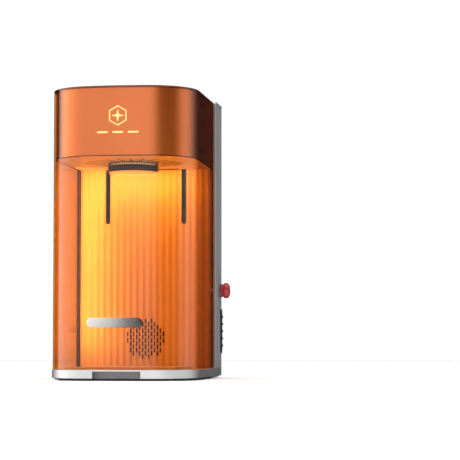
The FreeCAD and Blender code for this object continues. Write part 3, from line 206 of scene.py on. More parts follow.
def head_paint():
    """Pale copper satin of the scan head, faintly cloudy, with very fine grain. The hood deepens it."""
    f = Finish("head_copper")
    grain = f.noise(3200, 2, 0.5)
    clouds = f.noise(9, 4, 0.5, (1, 1, 0.4))
    shade = f.blend(f.spread(clouds, 0.3, 0.7), (0.93, 0.72, 0.66), (0.99, 0.79, 0.73))
    rough = f.spread(grain, 0.3, 0.7, 0.25, 0.33)
    return f.surface(f.principled(
        Base_Color=shade, Metallic=0.91, Roughness=rough,
        Normal=f.bump(grain, 0.00003, 0.5),
    ))


SHEET_TINT = (0.88, 0.475, 0.22)  # through both faces, head on
SLANT_TINT = (0.81, 0.52, 0.22)  # through one face, at a slant
GRAZING_TINT = (0.22, 0.135, 0.06)  # through one face, nearly along it
SHEET_IOR = 1.49
INNER_MIRROR = 0.3  # share of the Fresnel mirror that the inner faces keep


def amber_sheet(name, outside):
    """Clear amber acrylic. A face passes the root of the tint, deeper at a slant, and mirrors by Fresnel.
    Only the polished outside mirrors fully; the inside has a glare-reducing finish."""
    f = Finish(name)
    geometry = f.add("ShaderNodeNewGeometry")
    behind = geometry.outputs["Backfacing"]
    fresnel = f.add("ShaderNodeFresnel")
    f.feed(fresnel.inputs["IOR"], f.spread(behind, 0.0, 1.0, SHEET_IOR, 1 / SHEET_IOR))
    slant = fresnel.outputs["Fac"]
    clouds = f.noise(6, 3, 0.5)
    face = tuple(math.sqrt(c) for c in SHEET_TINT)
    cloudy = tuple(c ** 1.05 for c in face)
    tint = f.blend(f.spread(clouds, 0.35, 0.65), face, cloudy)
    tint = f.blend(f.spread(slant, 0.05, 0.38), tint, SLANT_TINT)
    tint = f.blend(f.spread(slant, 0.45, 0.85), tint, GRAZING_TINT)
    clear = f.add("ShaderNodeBsdfTransparent")
    f.feed(clear.inputs["Color"], tint)
    polish = f.noise(140, 3, 0.6, (1, 1, 0.3))
    gloss = f.add("ShaderNodeBsdfGlossy")
    f.feed(gloss.inputs["Color"], (1.0, 1.0, 1.0))
    f.feed(gloss.inputs["Roughness"], f.spread(polish, 0.35, 0.75, 0.012, 0.05))
    mixed = f.add("ShaderNodeMixShader")
    share = f.spread(behind, 0.0, 1.0, 1.0 if outside else INNER_MIRROR, INNER_MIRROR)
    f.feed(mixed.inputs["Fac"], f.maths("MULTIPLY", slant, share))
    f.feed(mixed.inputs[1], clear.outputs["BSDF"])
    f.feed(mixed.inputs[2], gloss.outputs["BSDF"])
    return f.surface(mixed.outputs["Shader"])


def liner_paint():
    """Warm cream semi-gloss lacquer of the fluted wall."""
    f = Finish("liner_lacquer")
    orange_peel = f.noise(700, 2, 0.5, (1, 1, 0.5))
    soot = f.noise(14, 5, 0.6, (1, 1, 0.5))
    shade = f.blend(f.spread(soot, 0.45, 0.8), (0.93, 0.70, 0.42), (0.86, 0.60, 0.33))
    return f.surface(f.principled(
        Base_Color=shade, Roughness=f.spread(orange_peel, 0.3, 0.7, 0.26, 0.36),
        Normal=f.bump(orange_peel, 0.00004, 0.4),
    ))


def lens_coating_painted_glow():
    """Coated front element, with a painted warm glow (emission) in place of the chamber's light."""
    f = Finish("coated_lens_painted_glow")
    sheen = f.noise(30, 2, 0.4)
    shade = f.blend(f.spread(sheen, 0.3, 0.7), (0.96, 0.70, 0.48), (0.90, 0.60, 0.42))
    return f.surface(f.principled(
        Base_Color=shade, Roughness=f.spread(sheen, 0.3, 0.7, 0.06, 0.12),
        # Painted glow: the lens emits warm light of its own.
        Emission_Color=(1.0, 0.74, 0.30), Emission_Strength=0.65,
    ))


def circuit_board():
    """Green solder mask over a net of tracks."""
    f = Finish("circuit_board")
    tracks = f.cells(260)
    shade = f.blend(f.spread(tracks, 0.1, 0.16), (0.05, 0.30, 0.14), (0.02, 0.16, 0.07))
    return f.surface(f.principled(Base_Color=shade, Roughness=f.spread(tracks, 0.1, 0.3, 0.3, 0.45)))


def lamp_diffuser():
    """Smoked cover strip of the light bar."""
    f = Finish("lamp_diffuser")
    frost = f.noise(1200, 2, 0.5)
    shade = f.blend(f.spread(frost, 0.3, 0.7), (0.16, 0.10, 0.06), (0.10, 0.06, 0.04))
    return f.surface(f.principled(Base_Color=shade, Roughness=f.spread(frost, 0.3, 0.7, 0.3, 0.45)))


def ring_light():
    """Frosted, lit ring behind the lens flange's teeth."""
    f = Finish("ring_light")
    frost = f.noise(1500, 2, 0.5)
    shade = f.blend(f.spread(frost, 0.3, 0.7), (0.95, 0.88, 0.75), (0.88, 0.78, 0.62))
    return f.surface(f.principled(
        Base_Color=shade, Roughness=f.spread(frost, 0.3, 0.7, 0.4, 0.55),
        Emission_Color=(1.0, 0.85, 0.65), Emission_Strength=1.7,
    ))


def dial_metal_painted_glow():
    """Bright turned metal of the focus dial, with a faint painted glow (emission) that adds to its
    brightness.
    """
    f = Finish("dial_metal_painted_glow")
    turned = f.noise(1400, 3, 0.6, (0.05, 1, 1))
    shade = f.blend(f.spread(turned, 0.3, 0.7), (0.95, 0.95, 0.94), (0.86, 0.86, 0.85))
    return f.surface(f.principled(
        Base_Color=shade, Metallic=0.8, Roughness=f.spread(turned, 0.3, 0.7, 0.35, 0.5),
        # Painted glow: a faint white emission brightens the dial.
        Emission_Color=(1.0, 1.0, 1.0), Emission_Strength=0.1,
        Normal=f.bump(turned, 0.00003, 0.5),
    ))


def amber_edge_painted_glow():
    """Sawn edge of the amber sheet: frosted, with a faint painted glow (emission) in place of the light it
    carries.
    """
    f = Finish("amber_edge_painted_glow")
    saw = f.noise(1800, 3, 0.6, (1, 1, 0.15))
    shade = f.blend(f.spread(saw, 0.3, 0.7), (1.0, 0.80, 0.55), (0.95, 0.70, 0.45))
    return f.surface(f.principled(
        Base_Color=shade, Roughness=f.spread(saw, 0.3, 0.7, 0.45, 0.6),
        # Painted glow: the edge emits a little warm light of its own.
        Emission_Color=(1.0, 0.55, 0.25), Emission_Strength=0.12,
        Normal=f.bump(saw, 0.00004, 0.5),
    ))


def handle_metal_painted_reflection():
    """Polished bar with a painted reflection: bright at its left end and darker towards its right, with
    fine upright brushing.
    """
    f = Finish("handle_metal_painted_reflection")
    split = f.add("ShaderNodeSeparateXYZ")
    f.feed(split.inputs[0], f.place)
    along = f.spread(split.outputs["X"], -0.047, 0.047)
    lines = f.noise(3000, 3, 0.6, (1, 1, 0.03))
    # Painted reflection: the base colour steps from bright at the left end through grey to near black at
    # the right.
    left = f.blend(f.spread(along, 0.05, 0.42), (0.88, 0.84, 0.81), (0.58, 0.55, 0.53))
    middle = f.blend(f.spread(along, 0.42, 0.72), left, (0.22, 0.21, 0.205))
    painted_reflection_ramp = f.blend(f.spread(along, 0.72, 1.0), middle, (0.055, 0.057, 0.06))
    shade = f.blend(f.spread(lines, 0.3, 0.7, 0.0, 0.02), painted_reflection_ramp, (0.9, 0.9, 0.9))
    return f.surface(f.principled(
        Base_Color=shade, Metallic=1.0, Roughness=f.spread(lines, 0.3, 0.7, 0.24, 0.34),
        Normal=f.bump(lines, 0.000006, 0.3),
    ))


def recess_painted_shade_skin():
    """Painted shade for the finger recess: a dark grey pressed skin with a close pattern of dimples."""
    f = Finish("recess_painted_shade_liner")
    dimples = f.cells(900)
    # Painted shade: these dark greys stand in for the shadow in the recess.
    shade = f.blend(f.spread(dimples, 0.2, 0.6), (0.16, 0.16, 0.165), (0.27, 0.27, 0.275))
    return f.surface(f.principled(
        Base_Color=shade, Metallic=0.3, Roughness=f.spread(dimples, 0.2, 0.6, 0.5, 0.62),
        Normal=f.bump(dimples, 0.0002, 0.7),
    ))


def badge_metal_painted_glow():
    """Pale gold of the raised mark, with a strong painted glow (emission) that makes it shine by itself."""
    f = Finish("badge_gold_painted_glow")
    grain = f.noise(2500, 2, 0.5)
    shade = f.blend(f.spread(grain, 0.3, 0.7), (1.0, 0.97, 0.92), (0.98, 0.92, 0.85))
    return f.surface(f.principled(
        Base_Color=shade, Roughness=f.spread(grain, 0.3, 0.7, 0.4, 0.5),
        # Painted glow: the mark emits light of its own.
        Emission_Color=(1.0, 1.0, 0.85), Emission_Strength=1.9,
    ))


def make_finishes():
    """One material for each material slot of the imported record, by the slot's name."""
    return {
        "blasted_aluminium": blasted_metal("blasted_aluminium", (0.80, 0.80, 0.81), 0.40),
        "satin_metal": brushed_metal("satin_steel", (0.93, 0.92, 0.90), 0.30, (0.04, 1, 1)),
        "amber_sheet": amber_sheet("amber_acrylic", True),
        "dark_trim": moulded_plastic("dark_trim", (0.022, 0.022, 0.024), 0.42),
        "copper_paint": head_paint(),
        "pale_panel": moulded_plastic("pale_panel", (0.70, 0.69, 0.46), 0.5, 900),
        "fluted_liner": liner_paint(),
        "lens_black": blasted_metal("black_anodised", (0.045, 0.043, 0.042), 0.34, 0.6),
        "lens_glass": lens_coating_painted_glow(),
        "mirror_coat": brushed_metal("mirror_coat", (0.95, 0.88, 0.70), 0.05),
        "machine_metal": brushed_metal("machined_aluminium", (0.72, 0.73, 0.75), 0.30, (1, 1, 0.05)),
        "steel": brushed_metal("ground_steel", (0.58, 0.59, 0.61), 0.25, (1, 1, 0.05)),
        "brass": brushed_metal("brass", (0.78, 0.60, 0.26), 0.28, (1, 1, 0.2)),
        "rubber": moulded_plastic("rubber", (0.020, 0.020, 0.020), 0.75, 600, 0.00006),
        "black_plastic": moulded_plastic("black_plastic", (0.018, 0.018, 0.019), 0.45),
        "stop_red": moulded_plastic("stop_red", (0.40, 0.004, 0.008), 0.2, 1200, 0.00001, 0.6),
        "grey_plastic": moulded_plastic("grey_plastic", (0.33, 0.34, 0.35), 0.4),
        "grey_panel": moulded_plastic("grey_powder_coat", (0.30, 0.31, 0.32), 0.5, 1100, 0.00008),
        "circuit": circuit_board(),
        "badge_print": badge_metal_painted_glow(),
        "lamp": lamp_diffuser(),
    }


FINISHES = make_finishes()


def dress_cad():
    """Gives each CAD node its slot's finish, or its own where the photo shows a different surface."""
    # Painted shade: the posts get a darker, half-metallic copy of the base's aluminium, which paints their
    # grey sides.
    post = blasted_metal("post_aluminium_painted_shade", (0.43, 0.43, 0.44), 0.42, 1.0, 0.5)
    own = {
        "top_lid": blasted_metal("lid_copper", (0.80, 0.43, 0.29), 0.36, 0.5),
        "focus_knob": dial_metal_painted_glow(),
        "side_post_left": post,
        "side_post_right": post,
        "work_plate": moulded_plastic("plate_grey", (0.58, 0.58, 0.56), 0.5, 1100, 0.00006),
        "stop_collar": moulded_plastic("collar_grey", (0.13, 0.115, 0.115), 0.38),
    }
    slots = {part["node"]: part["material_slot"] for part in frame["record"]["subparts"]}
    for name, node in nodes.items():
        node.data.materials.clear()
        node.data.materials.append(own.get(name, FINISHES[slots[name]]))


dress_cad()


# ---------------------------------------------------------------- mesh helpers

def piece(name, mesh, finish, body, stands_for=(), smooth=35):
    """Makes a visual piece of a bmesh, with smooth shading up to an angle, riding on a CAD body."""
    bmesh.ops.recalc_face_normals(mesh, faces=mesh.faces)
    data = bpy.data.meshes.new(name)
    mesh.to_mesh(data)
    mesh.free()
    obj = bpy.data.objects.new(name, data)
    bpy.context.scene.collection.objects.link(obj)
    data.materials.append(finish)
    data.shade_smooth()
    data.set_sharp_from_angle(angle=math.radians(smooth))
    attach(obj, body)
    if stands_for:
        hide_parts(*stands_for)
    return obj


def loops_faces(mesh, rows, close_rows=False):
    """Quads between neighbouring closed rows of vertices."""
    for i in range(len(rows) if close_rows else len(rows) - 1):
        first, second = rows[i], rows[(i + 1) % len(rows)]
        for j in range(len(first)):
            k = (j + 1) % len(first)
            mesh.faces.new((first[j], first[k], second[k], second[j]))


def solid(mesh, rows):
    """A solid through closed rows of vertices, with both ends capped."""
    loops_faces(mesh, rows)
    mesh.faces.new(rows[0])
    mesh.faces.new(tuple(reversed(rows[-1])))


def sweep(mesh, path, section):
    """Sweeps a closed section of (outward, z) along a path of (x, y, nx, ny)."""
    solid(mesh, [[mesh.verts.new((x + nx * out, y + ny * out, z)) for out, z in section]
                 for x, y, nx, ny in path])


def lathe(mesh, centre, profile, segments, axis="Z", shape=None):
    """Turns a profile of (radius, height) round an axis through centre, with flat ends.
    shape(radius, i) may vary the radius from segment to segment."""
    rows = []
    for radius, height in profile:
        ring = []
        for i in range(segments):
            turn = 2 * math.pi * i / segments
            reach = shape(radius, i) if shape else radius
            a, b = reach * math.cos(turn), reach * math.sin(turn)
            offset = (a, b, height) if axis == "Z" else (height, a, b)
            ring.append(mesh.verts.new(Vector(centre) + Vector(offset)))
        rows.append(ring)
    solid(mesh, rows)


def in_mm(profile):
    """A profile given in millimetres, in metres."""
    return [(radius * MM, height * MM) for radius, height in profile]


def rounded_rectangle(low, high, radius, steps=4):
    """Corner points of a rounded rectangle between two (u, v) corners."""
    corners = [(high[0] - radius, high[1] - radius, 0), (low[0] + radius, high[1] - radius, 90),
               (low[0] + radius, low[1] + radius, 180), (high[0] - radius, low[1] + radius, 270)]
    points = []
    for cu, cv, start in corners:
        for i in range(steps + 1):
            turn = math.radians(start + 90 * i / steps)
            points.append((cu + radius * math.cos(turn), cv + radius * math.sin(turn)))
    return points


def prism(mesh, outline, place, depth):
    """A solid whose outline points (u, v) are put in space by place(u, v, w), for w from 0 to depth."""
    solid(mesh, [[mesh.verts.new(place(u, v, w)) for u, v in outline] for w in (0, depth)])


def tube(mesh, outline, wall, place, depth):
    """A tube with a pill's outline and a wall of that thickness."""
    straight = abs(outline[0][0])
    inner = []
    for u, v in outline:
        centre_v = math.copysign(max(abs(v) - straight, 0), v)
        du, dv = u, v - centre_v
        length = math.hypot(du, dv) or 1.0
        inner.append((u - du / length * wall, v - dv / length * wall))
    rows = [[mesh.verts.new(place(u, v, w)) for u, v in loop]
            for loop, w in ((outline, 0), (outline, depth), (inner, depth), (inner, 0))]
    loops_faces(mesh, rows, True)


def pill(width, height, steps=8):
    """Outline of an upright slot with round ends."""
    r = width / 2
    straight = height / 2 - r
    points = []
    for centre, start in ((straight, 0), (-straight, 180)):
        for i in range(steps + 1):
            turn = math.radians(start + 180 * i / steps)
            points.append((r * math.cos(turn), centre + r * math.sin(turn)))
    return points


# ---------------------------------------------------------------- the plan shared by hood, head and base

HALF = 125 * MM  # to the hood's side; the front is a flat bow between two round corners
CORNER_R = 82 * MM
BOW_R = 455 * MM
CORNER_X = HALF - CORNER_R
CORNER_Y = WALL_Y - 177 * MM
BOW_Y = CORNER_Y + math.sqrt((BOW_R - CORNER_R) ** 2 - CORNER_X ** 2)
BOW_TURN = math.asin(CORNER_X / (BOW_R - CORNER_R))
BOW_STEPS = 10
CORNER_STEPS = 28


def plan_path(inset, rear):
    """The U-shaped line round front and sides, as (x, y, nx, ny), left rear to right rear."""
    right = []
    for i in range(BOW_STEPS + 1):
        turn = BOW_TURN * i / BOW_STEPS
        reach = BOW_R - inset
        right.append((math.sin(turn) * reach, BOW_Y - math.cos(turn) * reach, turn))
    for i in range(1, CORNER_STEPS + 1):
        turn = BOW_TURN + (math.pi / 2 - BOW_TURN) * i / CORNER_STEPS
        reach = CORNER_R - inset
        right.append((CORNER_X + math.sin(turn) * reach, CORNER_Y - math.cos(turn) * reach, turn))
    right.append((HALF - inset, rear, math.pi / 2))
    half = [(x, y, math.sin(turn), -math.cos(turn)) for x, y, turn in right]
    return [(-x, y, -nx, ny) for x, y, nx, ny in reversed(half[1:])] + half


# ---------------------------------------------------------------- hood

SHEET = 3 * MM
RIM_R = 1.1 * MM


def hood_sheet():
    """The amber sheet with rounded rims; its rear edges are frosted with a faint painted glow, and its top
    rim is dark.
    """
    low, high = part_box("amber_cover")
    seam = WALL_Y - 0.5 * MM
    path = plan_path(0, high.y - 0.2 * MM)
    path.insert(1, (-HALF, seam, -1.0, 0.0))
    path.insert(-1, (HALF, seam, 1.0, 0.0))
    mesh = bmesh.new()
    sweep(mesh, path, sheet_section(low.z, high.z))
    sheet = piece("hood_sheet", mesh, FINISHES["amber_sheet"], "hood", ["amber_cover"], 60)
    edge, inside, rim = 1, 2, 3
    for extra in (amber_edge_painted_glow(), amber_sheet("amber_inside", False),
                  moulded_plastic("amber_rim", (0.12, 0.035, 0.015), 0.3)):
        sheet.data.materials.append(extra)
    for face in sheet.data.polygons:
        if face.center.z > high.z - 1.2 * MM:
            face.material_index = rim
        elif faces_inwards(face):
            face.material_index = edge if face.center.y > seam else inside


def sheet_section(low, high):
    """The sheet's section with rounded rims; loops near the rims keep its faces truly flat."""
    near = RIM_R + 0.4 * MM
    loop = rounded_rectangle((-SHEET, low), (0, high), RIM_R, 4)
    half = len(loop) // 2
    inside = [(-SHEET, high - near), (-SHEET, low + near)]
    outside = [(0, low + near), (0, high - near)]
    return loop[:half] + inside + loop[half:] + outside


def faces_inwards(face):
    """True where an upright face looks towards the middle of the chamber."""
    middle = Vector((0, CORNER_Y + 60 * MM, face.center.z))
    return face.normal.dot(middle - face.center) > 0


BAR_BEND_R = 475 * MM
BAR_DEPTH = 8 * MM
BAR_SOFT = 1.2 * MM
BAR_COLUMNS = 72


def grip_handle():
    """Pill-shaped bar, bent with the hood's front, with soft edges and tips."""
    low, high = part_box("grip_bar")
    middle = (low.z + high.z) / 2
    half_height = (high.z - low.z) / 2
    half_width = high.x
    mesh = bmesh.new()
    rows = []
    for i in range(BAR_COLUMNS + 1):
        across = -math.cos(math.pi * i / BAR_COLUMNS) * half_width
        past = max(0.0, abs(across) - (half_width - half_height))
        tall = max(math.sqrt(max(half_height ** 2 - past ** 2, 0.0)), 0.35 * MM)
        turn = across / BAR_BEND_R
        tip = BAR_SOFT * 0.9 * (past / half_height) ** 4
        row = []
        for out, z in rounded_rectangle((-BAR_DEPTH, -tall), (0, tall), min(BAR_SOFT, tall * 0.45), 5):
            reach = BAR_BEND_R + out - tip
            row.append(mesh.verts.new((math.sin(turn) * reach, BOW_Y - math.cos(turn) * reach, middle + z)))
        rows.append(row)
    solid(mesh, rows)
    piece("grip_handle", mesh, handle_metal_painted_reflection(), "hood", ["grip_bar"], 50)


# ---------------------------------------------------------------- rear wall

FLUTES = 20
FLUTE_STEPS = 16
FLUTE_DEPTH = 2.4 * MM
SLOT_X, SLOT_Z = 68.9 * MM, 375 * MM
SLOT_SIZE = (8.2 * MM, 198 * MM)
GRILLE_Z, GRILLE_R = 70 * MM, 35 * MM
DASH_STEP = (5.4 * MM, 11.5 * MM)
DASH_SIZE = (2.8 * MM, 9.4 * MM)


def less(size, amount):
    """A (width, height) made smaller by an amount both ways."""
    return [length - amount for length in size]


def slot_centres():
    """Centres of the two travel slots, as (x, z)."""
    return [(-SLOT_X, SLOT_Z), (SLOT_X, SLOT_Z)]


def grille_dashes():
    """Centres of the exhaust grille's dashes, staggered, inside a circle, as (x, z)."""
    dashes = []
    for column in range(-6, 7):
        x = column * DASH_STEP[0]
        shift = 0.25 if column % 2 else -0.25
        for row in range(-4, 5):
            z = (row + shift) * DASH_STEP[1]
            if math.hypot(x, z) < GRILLE_R:
                dashes.append((x, GRILLE_Z + z))
    return dashes


def facing_front(x, z, y):
    """Puts outline points on a plane that faces the front, sunk into the wall by w."""
    return lambda u, v, w: (x + u, y + w, z + v)


def fluted_wall():
    """Waved liner with the travel slots and the exhaust grille cut right through."""
    low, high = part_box("rear_wall")
    width = high.x - low.x
    outline = []
    for i in range(FLUTES * FLUTE_STEPS + 1):
        wave = 0.5 + 0.5 * math.cos(2 * math.pi * i / FLUTE_STEPS)
        x = low.x + width * i / (FLUTES * FLUTE_STEPS)
        outline.append((x, low.y + 0.1 * MM + wave * FLUTE_DEPTH))
    outline += [(high.x, high.y), (low.x, high.y)]
    mesh = bmesh.new()
    prism(mesh, outline, lambda u, v, w: (u, v, low.z + w), high.z - low.z)
    wall = piece("fluted_wall", mesh, FINISHES["fluted_liner"], "root", ["rear_wall"], 40)

    cutter = bmesh.new()
    for x, z in slot_centres():
        prism(cutter, pill(*SLOT_SIZE), facing_front(x, z, low.y - 2 * MM), 20 * MM)
    for x, z in grille_dashes():
        prism(cutter, pill(*DASH_SIZE), facing_front(x, z, low.y - 2 * MM), 20 * MM)
    cut_through(wall, cutter)

    sleeves = bmesh.new()
    for x, z in slot_centres():
        tube(sleeves, pill(*less(SLOT_SIZE, 0.1 * MM)), 0.8 * MM,
             facing_front(x, z, low.y + 0.3 * MM), 7.6 * MM)
    piece("slot_sleeves", sleeves, FINISHES["dark_trim"], "root")
    # Painted shade: closed black cups behind the grille's dashes make the holes look dark.
    grille_shade_cups = bmesh.new()
    for x, z in grille_dashes():
        prism(grille_shade_cups, pill(*less(DASH_SIZE, 0.1 * MM)), facing_front(x, z, low.y + 1.4 * MM), 6 * MM)
    piece("grille_painted_shade", grille_shade_cups, FINISHES["black_plastic"], "root")


def cut_through(target, mesh):
    """Takes a bmesh's shape out of a piece, and leaves no modifier on it."""
    bmesh.ops.recalc_face_normals(mesh, faces=mesh.faces)
    data = bpy.data.meshes.new("wall_cutter")
    mesh.to_mesh(data)
    mesh.free()
    cutter = bpy.data.objects.new("wall_cutter", data)
    bpy.context.scene.collection.objects.link(cutter)
    cut = target.modifiers.new("slots", "BOOLEAN")
    cut.operation = "DIFFERENCE"
    cut.solver = "EXACT"
    cut.object = cutter
    bpy.context.view_layer.update()
    shape = bpy.data.meshes.new_from_object(target.evaluated_get(bpy.context.evaluated_depsgraph_get()))
    target.modifiers.clear()
    target.data = shape
    shape.shade_smooth()
    shape.set_sharp_from_angle(angle=math.radians(40))
    bpy.data.objects.remove(cutter)


# ---------------------------------------------------------------- scan head

LENS_CENTRE = (0.0, WALL_Y - 118 * MM, 0.0)
HEAD_INSET = 5.3 * MM
VENTS = 24
VENT_NEAR, VENT_FAR, VENT_WIDTH = 49 * MM, 86 * MM, 3.6 * MM


def head_seal_painted_shade():
    """Black lip round the head's lower edge that sweeps the inside of the hood; its black also paints the
    shadow gap along that edge.
    """
    mesh = bmesh.new()
    low, high = HEAD_LOW + 0.02 * MM, HEAD_LOW + 1.5 * MM
    section = rounded_rectangle((-0.1 * MM, low), (1.9 * MM, high), 0.4 * MM, 3)
    sweep(mesh, plan_path(HEAD_INSET, WALL_Y - 4 * MM), section)
    piece("head_seal_painted_shade", mesh, FINISHES["rubber"], "head")


def sole_vents():
    """Dark insect-mesh strips over the sole's ring of air slots."""
    mesh = bmesh.new()
    outline = pill(VENT_WIDTH, VENT_FAR - VENT_NEAR, 6)
    middle = (VENT_NEAR + VENT_FAR) / 2
    for i in range(VENTS):
        turn = 2 * math.pi * (i + 0.5) / VENTS
        c, s = math.cos(turn), math.sin(turn)

        def place(u, v, w, c=c, s=s):
            along = middle + v
            return (LENS_CENTRE[0] + along * s + u * c, LENS_CENTRE[1] - along * c + u * s,
                    HEAD_LOW - 0.25 * MM + w)
        prism(mesh, outline, place, 0.8 * MM)
    piece("sole_vents", mesh, FINISHES["black_plastic"], "head")


FLANGE_R, NOTCH_R, CORE_R = 43.3 * MM, 42.3 * MM, 42.7 * MM
TOOTH_STEPS = 6
TOOTH_WIDE = 4
TEETH = 60
BARREL_LIFT = 2.6 * MM  # the photo's barrel ends this much above the CAD one


def lens_flange():
    """A toothed dark flange round a bright core, which shows between the teeth."""
    low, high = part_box("lens_ring")[0].z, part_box("lens_ring")[1].z
    core = bmesh.new()
    lathe(core, LENS_CENTRE, [(CORE_R, low + 0.6 * MM), (CORE_R, high - 0.6 * MM)], 96)
    piece("lens_core", core, ring_light(), "head")

    def toothed(radius, i):
        return radius or (FLANGE_R if i % TOOTH_STEPS < TOOTH_WIDE else NOTCH_R)

    profile = [(42.2 * MM, low), (43.5 * MM, low + 0.3 * MM), (43.5 * MM, low + 1.4 * MM),
               (None, low + 1.6 * MM), (None, high - 1.8 * MM), (43.5 * MM, high - 1.6 * MM),
               (43.5 * MM, high - 0.3 * MM), (42.8 * MM, high - 0.02 * MM)]
    flange = bmesh.new()
    lathe(flange, LENS_CENTRE, profile, TEETH * TOOTH_STEPS, shape=toothed)
    piece("lens_flange", flange, FINISHES["lens_black"], "head", ["lens_ring"])


def lens_body():
    """A soft-edged barrel with two grip grooves."""
    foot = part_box("lens_barrel")[0].z + BARREL_LIFT
    top = (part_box("lens_ring")[0].z - foot) / MM
    profile = [(41.1, 0.9), (41.2, 0.2), (41.6, 0.0), (42.8, 1.4), (43.7, 3.0), (44.0, 4.2)]
    for groove in (4.9, 6.2):
        profile += [(44.0, groove), (43.4, groove + 0.25), (43.4, groove + 0.6), (44.0, groove + 0.85)]
    profile += [(44.0, top - 2.2), (43.3, top - 1.1), (42.4, top - 0.3), (41.0, top)]
    mesh = bmesh.new()
    lathe(mesh, LENS_CENTRE, [(radius, foot + z) for radius, z in in_mm(profile)], 128)
    piece("lens_body", mesh, FINISHES["lens_black"], "head", ["lens_barrel"], 30)


def lens_front():
    """The domed front element, lowest in the middle."""
    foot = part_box("lens_barrel")[0].z + BARREL_LIFT
    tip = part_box("lens_glass")[0].z + 0.05 * MM
    radius, rise = 41.3 * MM, 2.6 * MM
    dome = []
    for degrees in (1, 15, 30, 45, 60, 75, 90):
        turn = math.radians(degrees)
        dome.append((radius * math.sin(turn), tip + rise * (1 - math.cos(turn))))
    mesh = bmesh.new()
    lathe(mesh, LENS_CENTRE, dome + [(41.0 * MM, foot + 0.8 * MM)], 96)
    piece("lens_front", mesh, FINISHES["lens_glass"], "head", ["lens_glass"], 60)


def side_screws():
    """Domed black screws with sockets on the head's sides."""
    low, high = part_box("head_screws")
    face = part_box("head_shell")[1].x
    profile = [(5.0, -0.2), (5.0, 0.7), (4.8, 1.2), (4.1, 1.75), (3.0, 2.05), (2.2, 2.1), (2.2, 1.2)]
    mesh = bmesh.new()
    for z in (low.z + 5 * MM, high.z - 5 * MM):
        for side in (-1, 1):
            outward = [(radius, side * height) for radius, height in in_mm(profile)]
            lathe(mesh, (side * face, WALL_Y - 112 * MM, z), outward, 24, "X")
    piece("side_screws", mesh, FINISHES["black_plastic"], "head", ["head_screws"], 30)


# ---------------------------------------------------------------- base and side

RECESS_HALF = 40.45 * MM  # a hair inside the base's 81 mm wide recess
RECESS_BACK, RECESS_FRONT = -157.05 * MM, -168.7 * MM
RECESS_LOW, RECESS_TALL = 4.2 * MM, 11.4 * MM
LINER_SUNK = 0.7 * MM


def recess_painted_shade_liner():
    """Dark grey sheet on the back and side walls of the finger recess, hardly proud of the metal; it paints
    the shade inside the recess.
    """
    half, outer = RECESS_HALF, RECESS_HALF + LINER_SUNK
    behind = RECESS_BACK + LINER_SUNK
    outline = [(-half, RECESS_FRONT), (-half, RECESS_BACK), (half, RECESS_BACK), (half, RECESS_FRONT),
               (outer, RECESS_FRONT), (outer, behind), (-outer, behind), (-outer, RECESS_FRONT)]
    mesh = bmesh.new()
    prism(mesh, outline, lambda u, v, w: (u, v, RECESS_LOW + w), RECESS_TALL)
    piece("recess_painted_shade_liner", mesh, recess_painted_shade_skin(), "root")


CAP_SEGMENTS = 96
CAP_GRIPS = 12


def stop_button():
    """Mushroom cap with a scalloped rim, standing on its grey collar."""
    low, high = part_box("stop_cap")
    centre = (0, (low.y + high.y) / 2, (low.z + high.z) / 2)
    from_collar = [(10.9, 0.0), (11.6, 0.5), (11.6, 2.6), (11.1, 3.0), (11.1, 3.5), (12.0, 4.0),
                   (13.3, 4.8), (13.8, 5.8)]
    from_face = [(13.8, 4.4), (13.5, 3.4), (12.8, 2.7), (11.5, 2.3), (11.2, 1.4), (10.6, 0.7),
                 (8.5, 0.2), (4.0, 0.05), (0.4, 0.0)]
    profile = [(radius, low.x + x) for radius, x in in_mm(from_collar)]
    profile += [(radius, high.x - x) for radius, x in in_mm(from_face)]

    def scalloped(radius, i):
        wave = 0.5 - 0.5 * math.cos(CAP_GRIPS * 2 * math.pi * i / CAP_SEGMENTS)
        return radius - 0.45 * MM * wave if radius > 13 * MM else radius

    mesh = bmesh.new()
    lathe(mesh, centre, profile, CAP_SEGMENTS, "X", scalloped)
    cap = piece("stop_mushroom", mesh, FINISHES["stop_red"], "stop_cap_body", ["stop_cap"], 40)
    cap.visible_glossy = False  # or it shows as a red streak in the column and the hood


def soften(names, width, angle=32):
    """Rounds the sharp edges of CAD nodes: joined vertices, flat faces merged, then a narrow bevel."""
    for name in names:
        node = nodes[name]
        weld = node.modifiers.new("weld", "WELD")
        weld.merge_threshold = 0.00001
        flat = node.modifiers.new("flat", "DECIMATE")
        flat.decimate_type = "DISSOLVE"
        flat.angle_limit = math.radians(0.3)
        bevel = node.modifiers.new("soft_edges", "BEVEL")
        bevel.width = width
        bevel.segments = 3
        bevel.limit_method = "ANGLE"
        bevel.angle_limit = math.radians(angle)
        bevel.harden_normals = True
        even = node.modifiers.new("face_normals", "WEIGHTED_NORMAL")
        even.mode = "FACE_AREA"
        even.weight = 100
        node.data.shade_smooth()


hood_sheet()
grip_handle()
fluted_wall()
head_seal_painted_shade()
sole_vents()
lens_flange()
lens_body()
lens_front()
side_screws()
recess_painted_shade_liner()
stop_button()
soften(["base_plate"], 0.5 * MM)
soften(["side_post_left", "side_post_right"], 1.2 * MM)
soften(["column_cap", "under_plate", "top_lid", "work_plate"], 0.3 * MM)


# ---------------------------------------------------------------- stage, light and camera

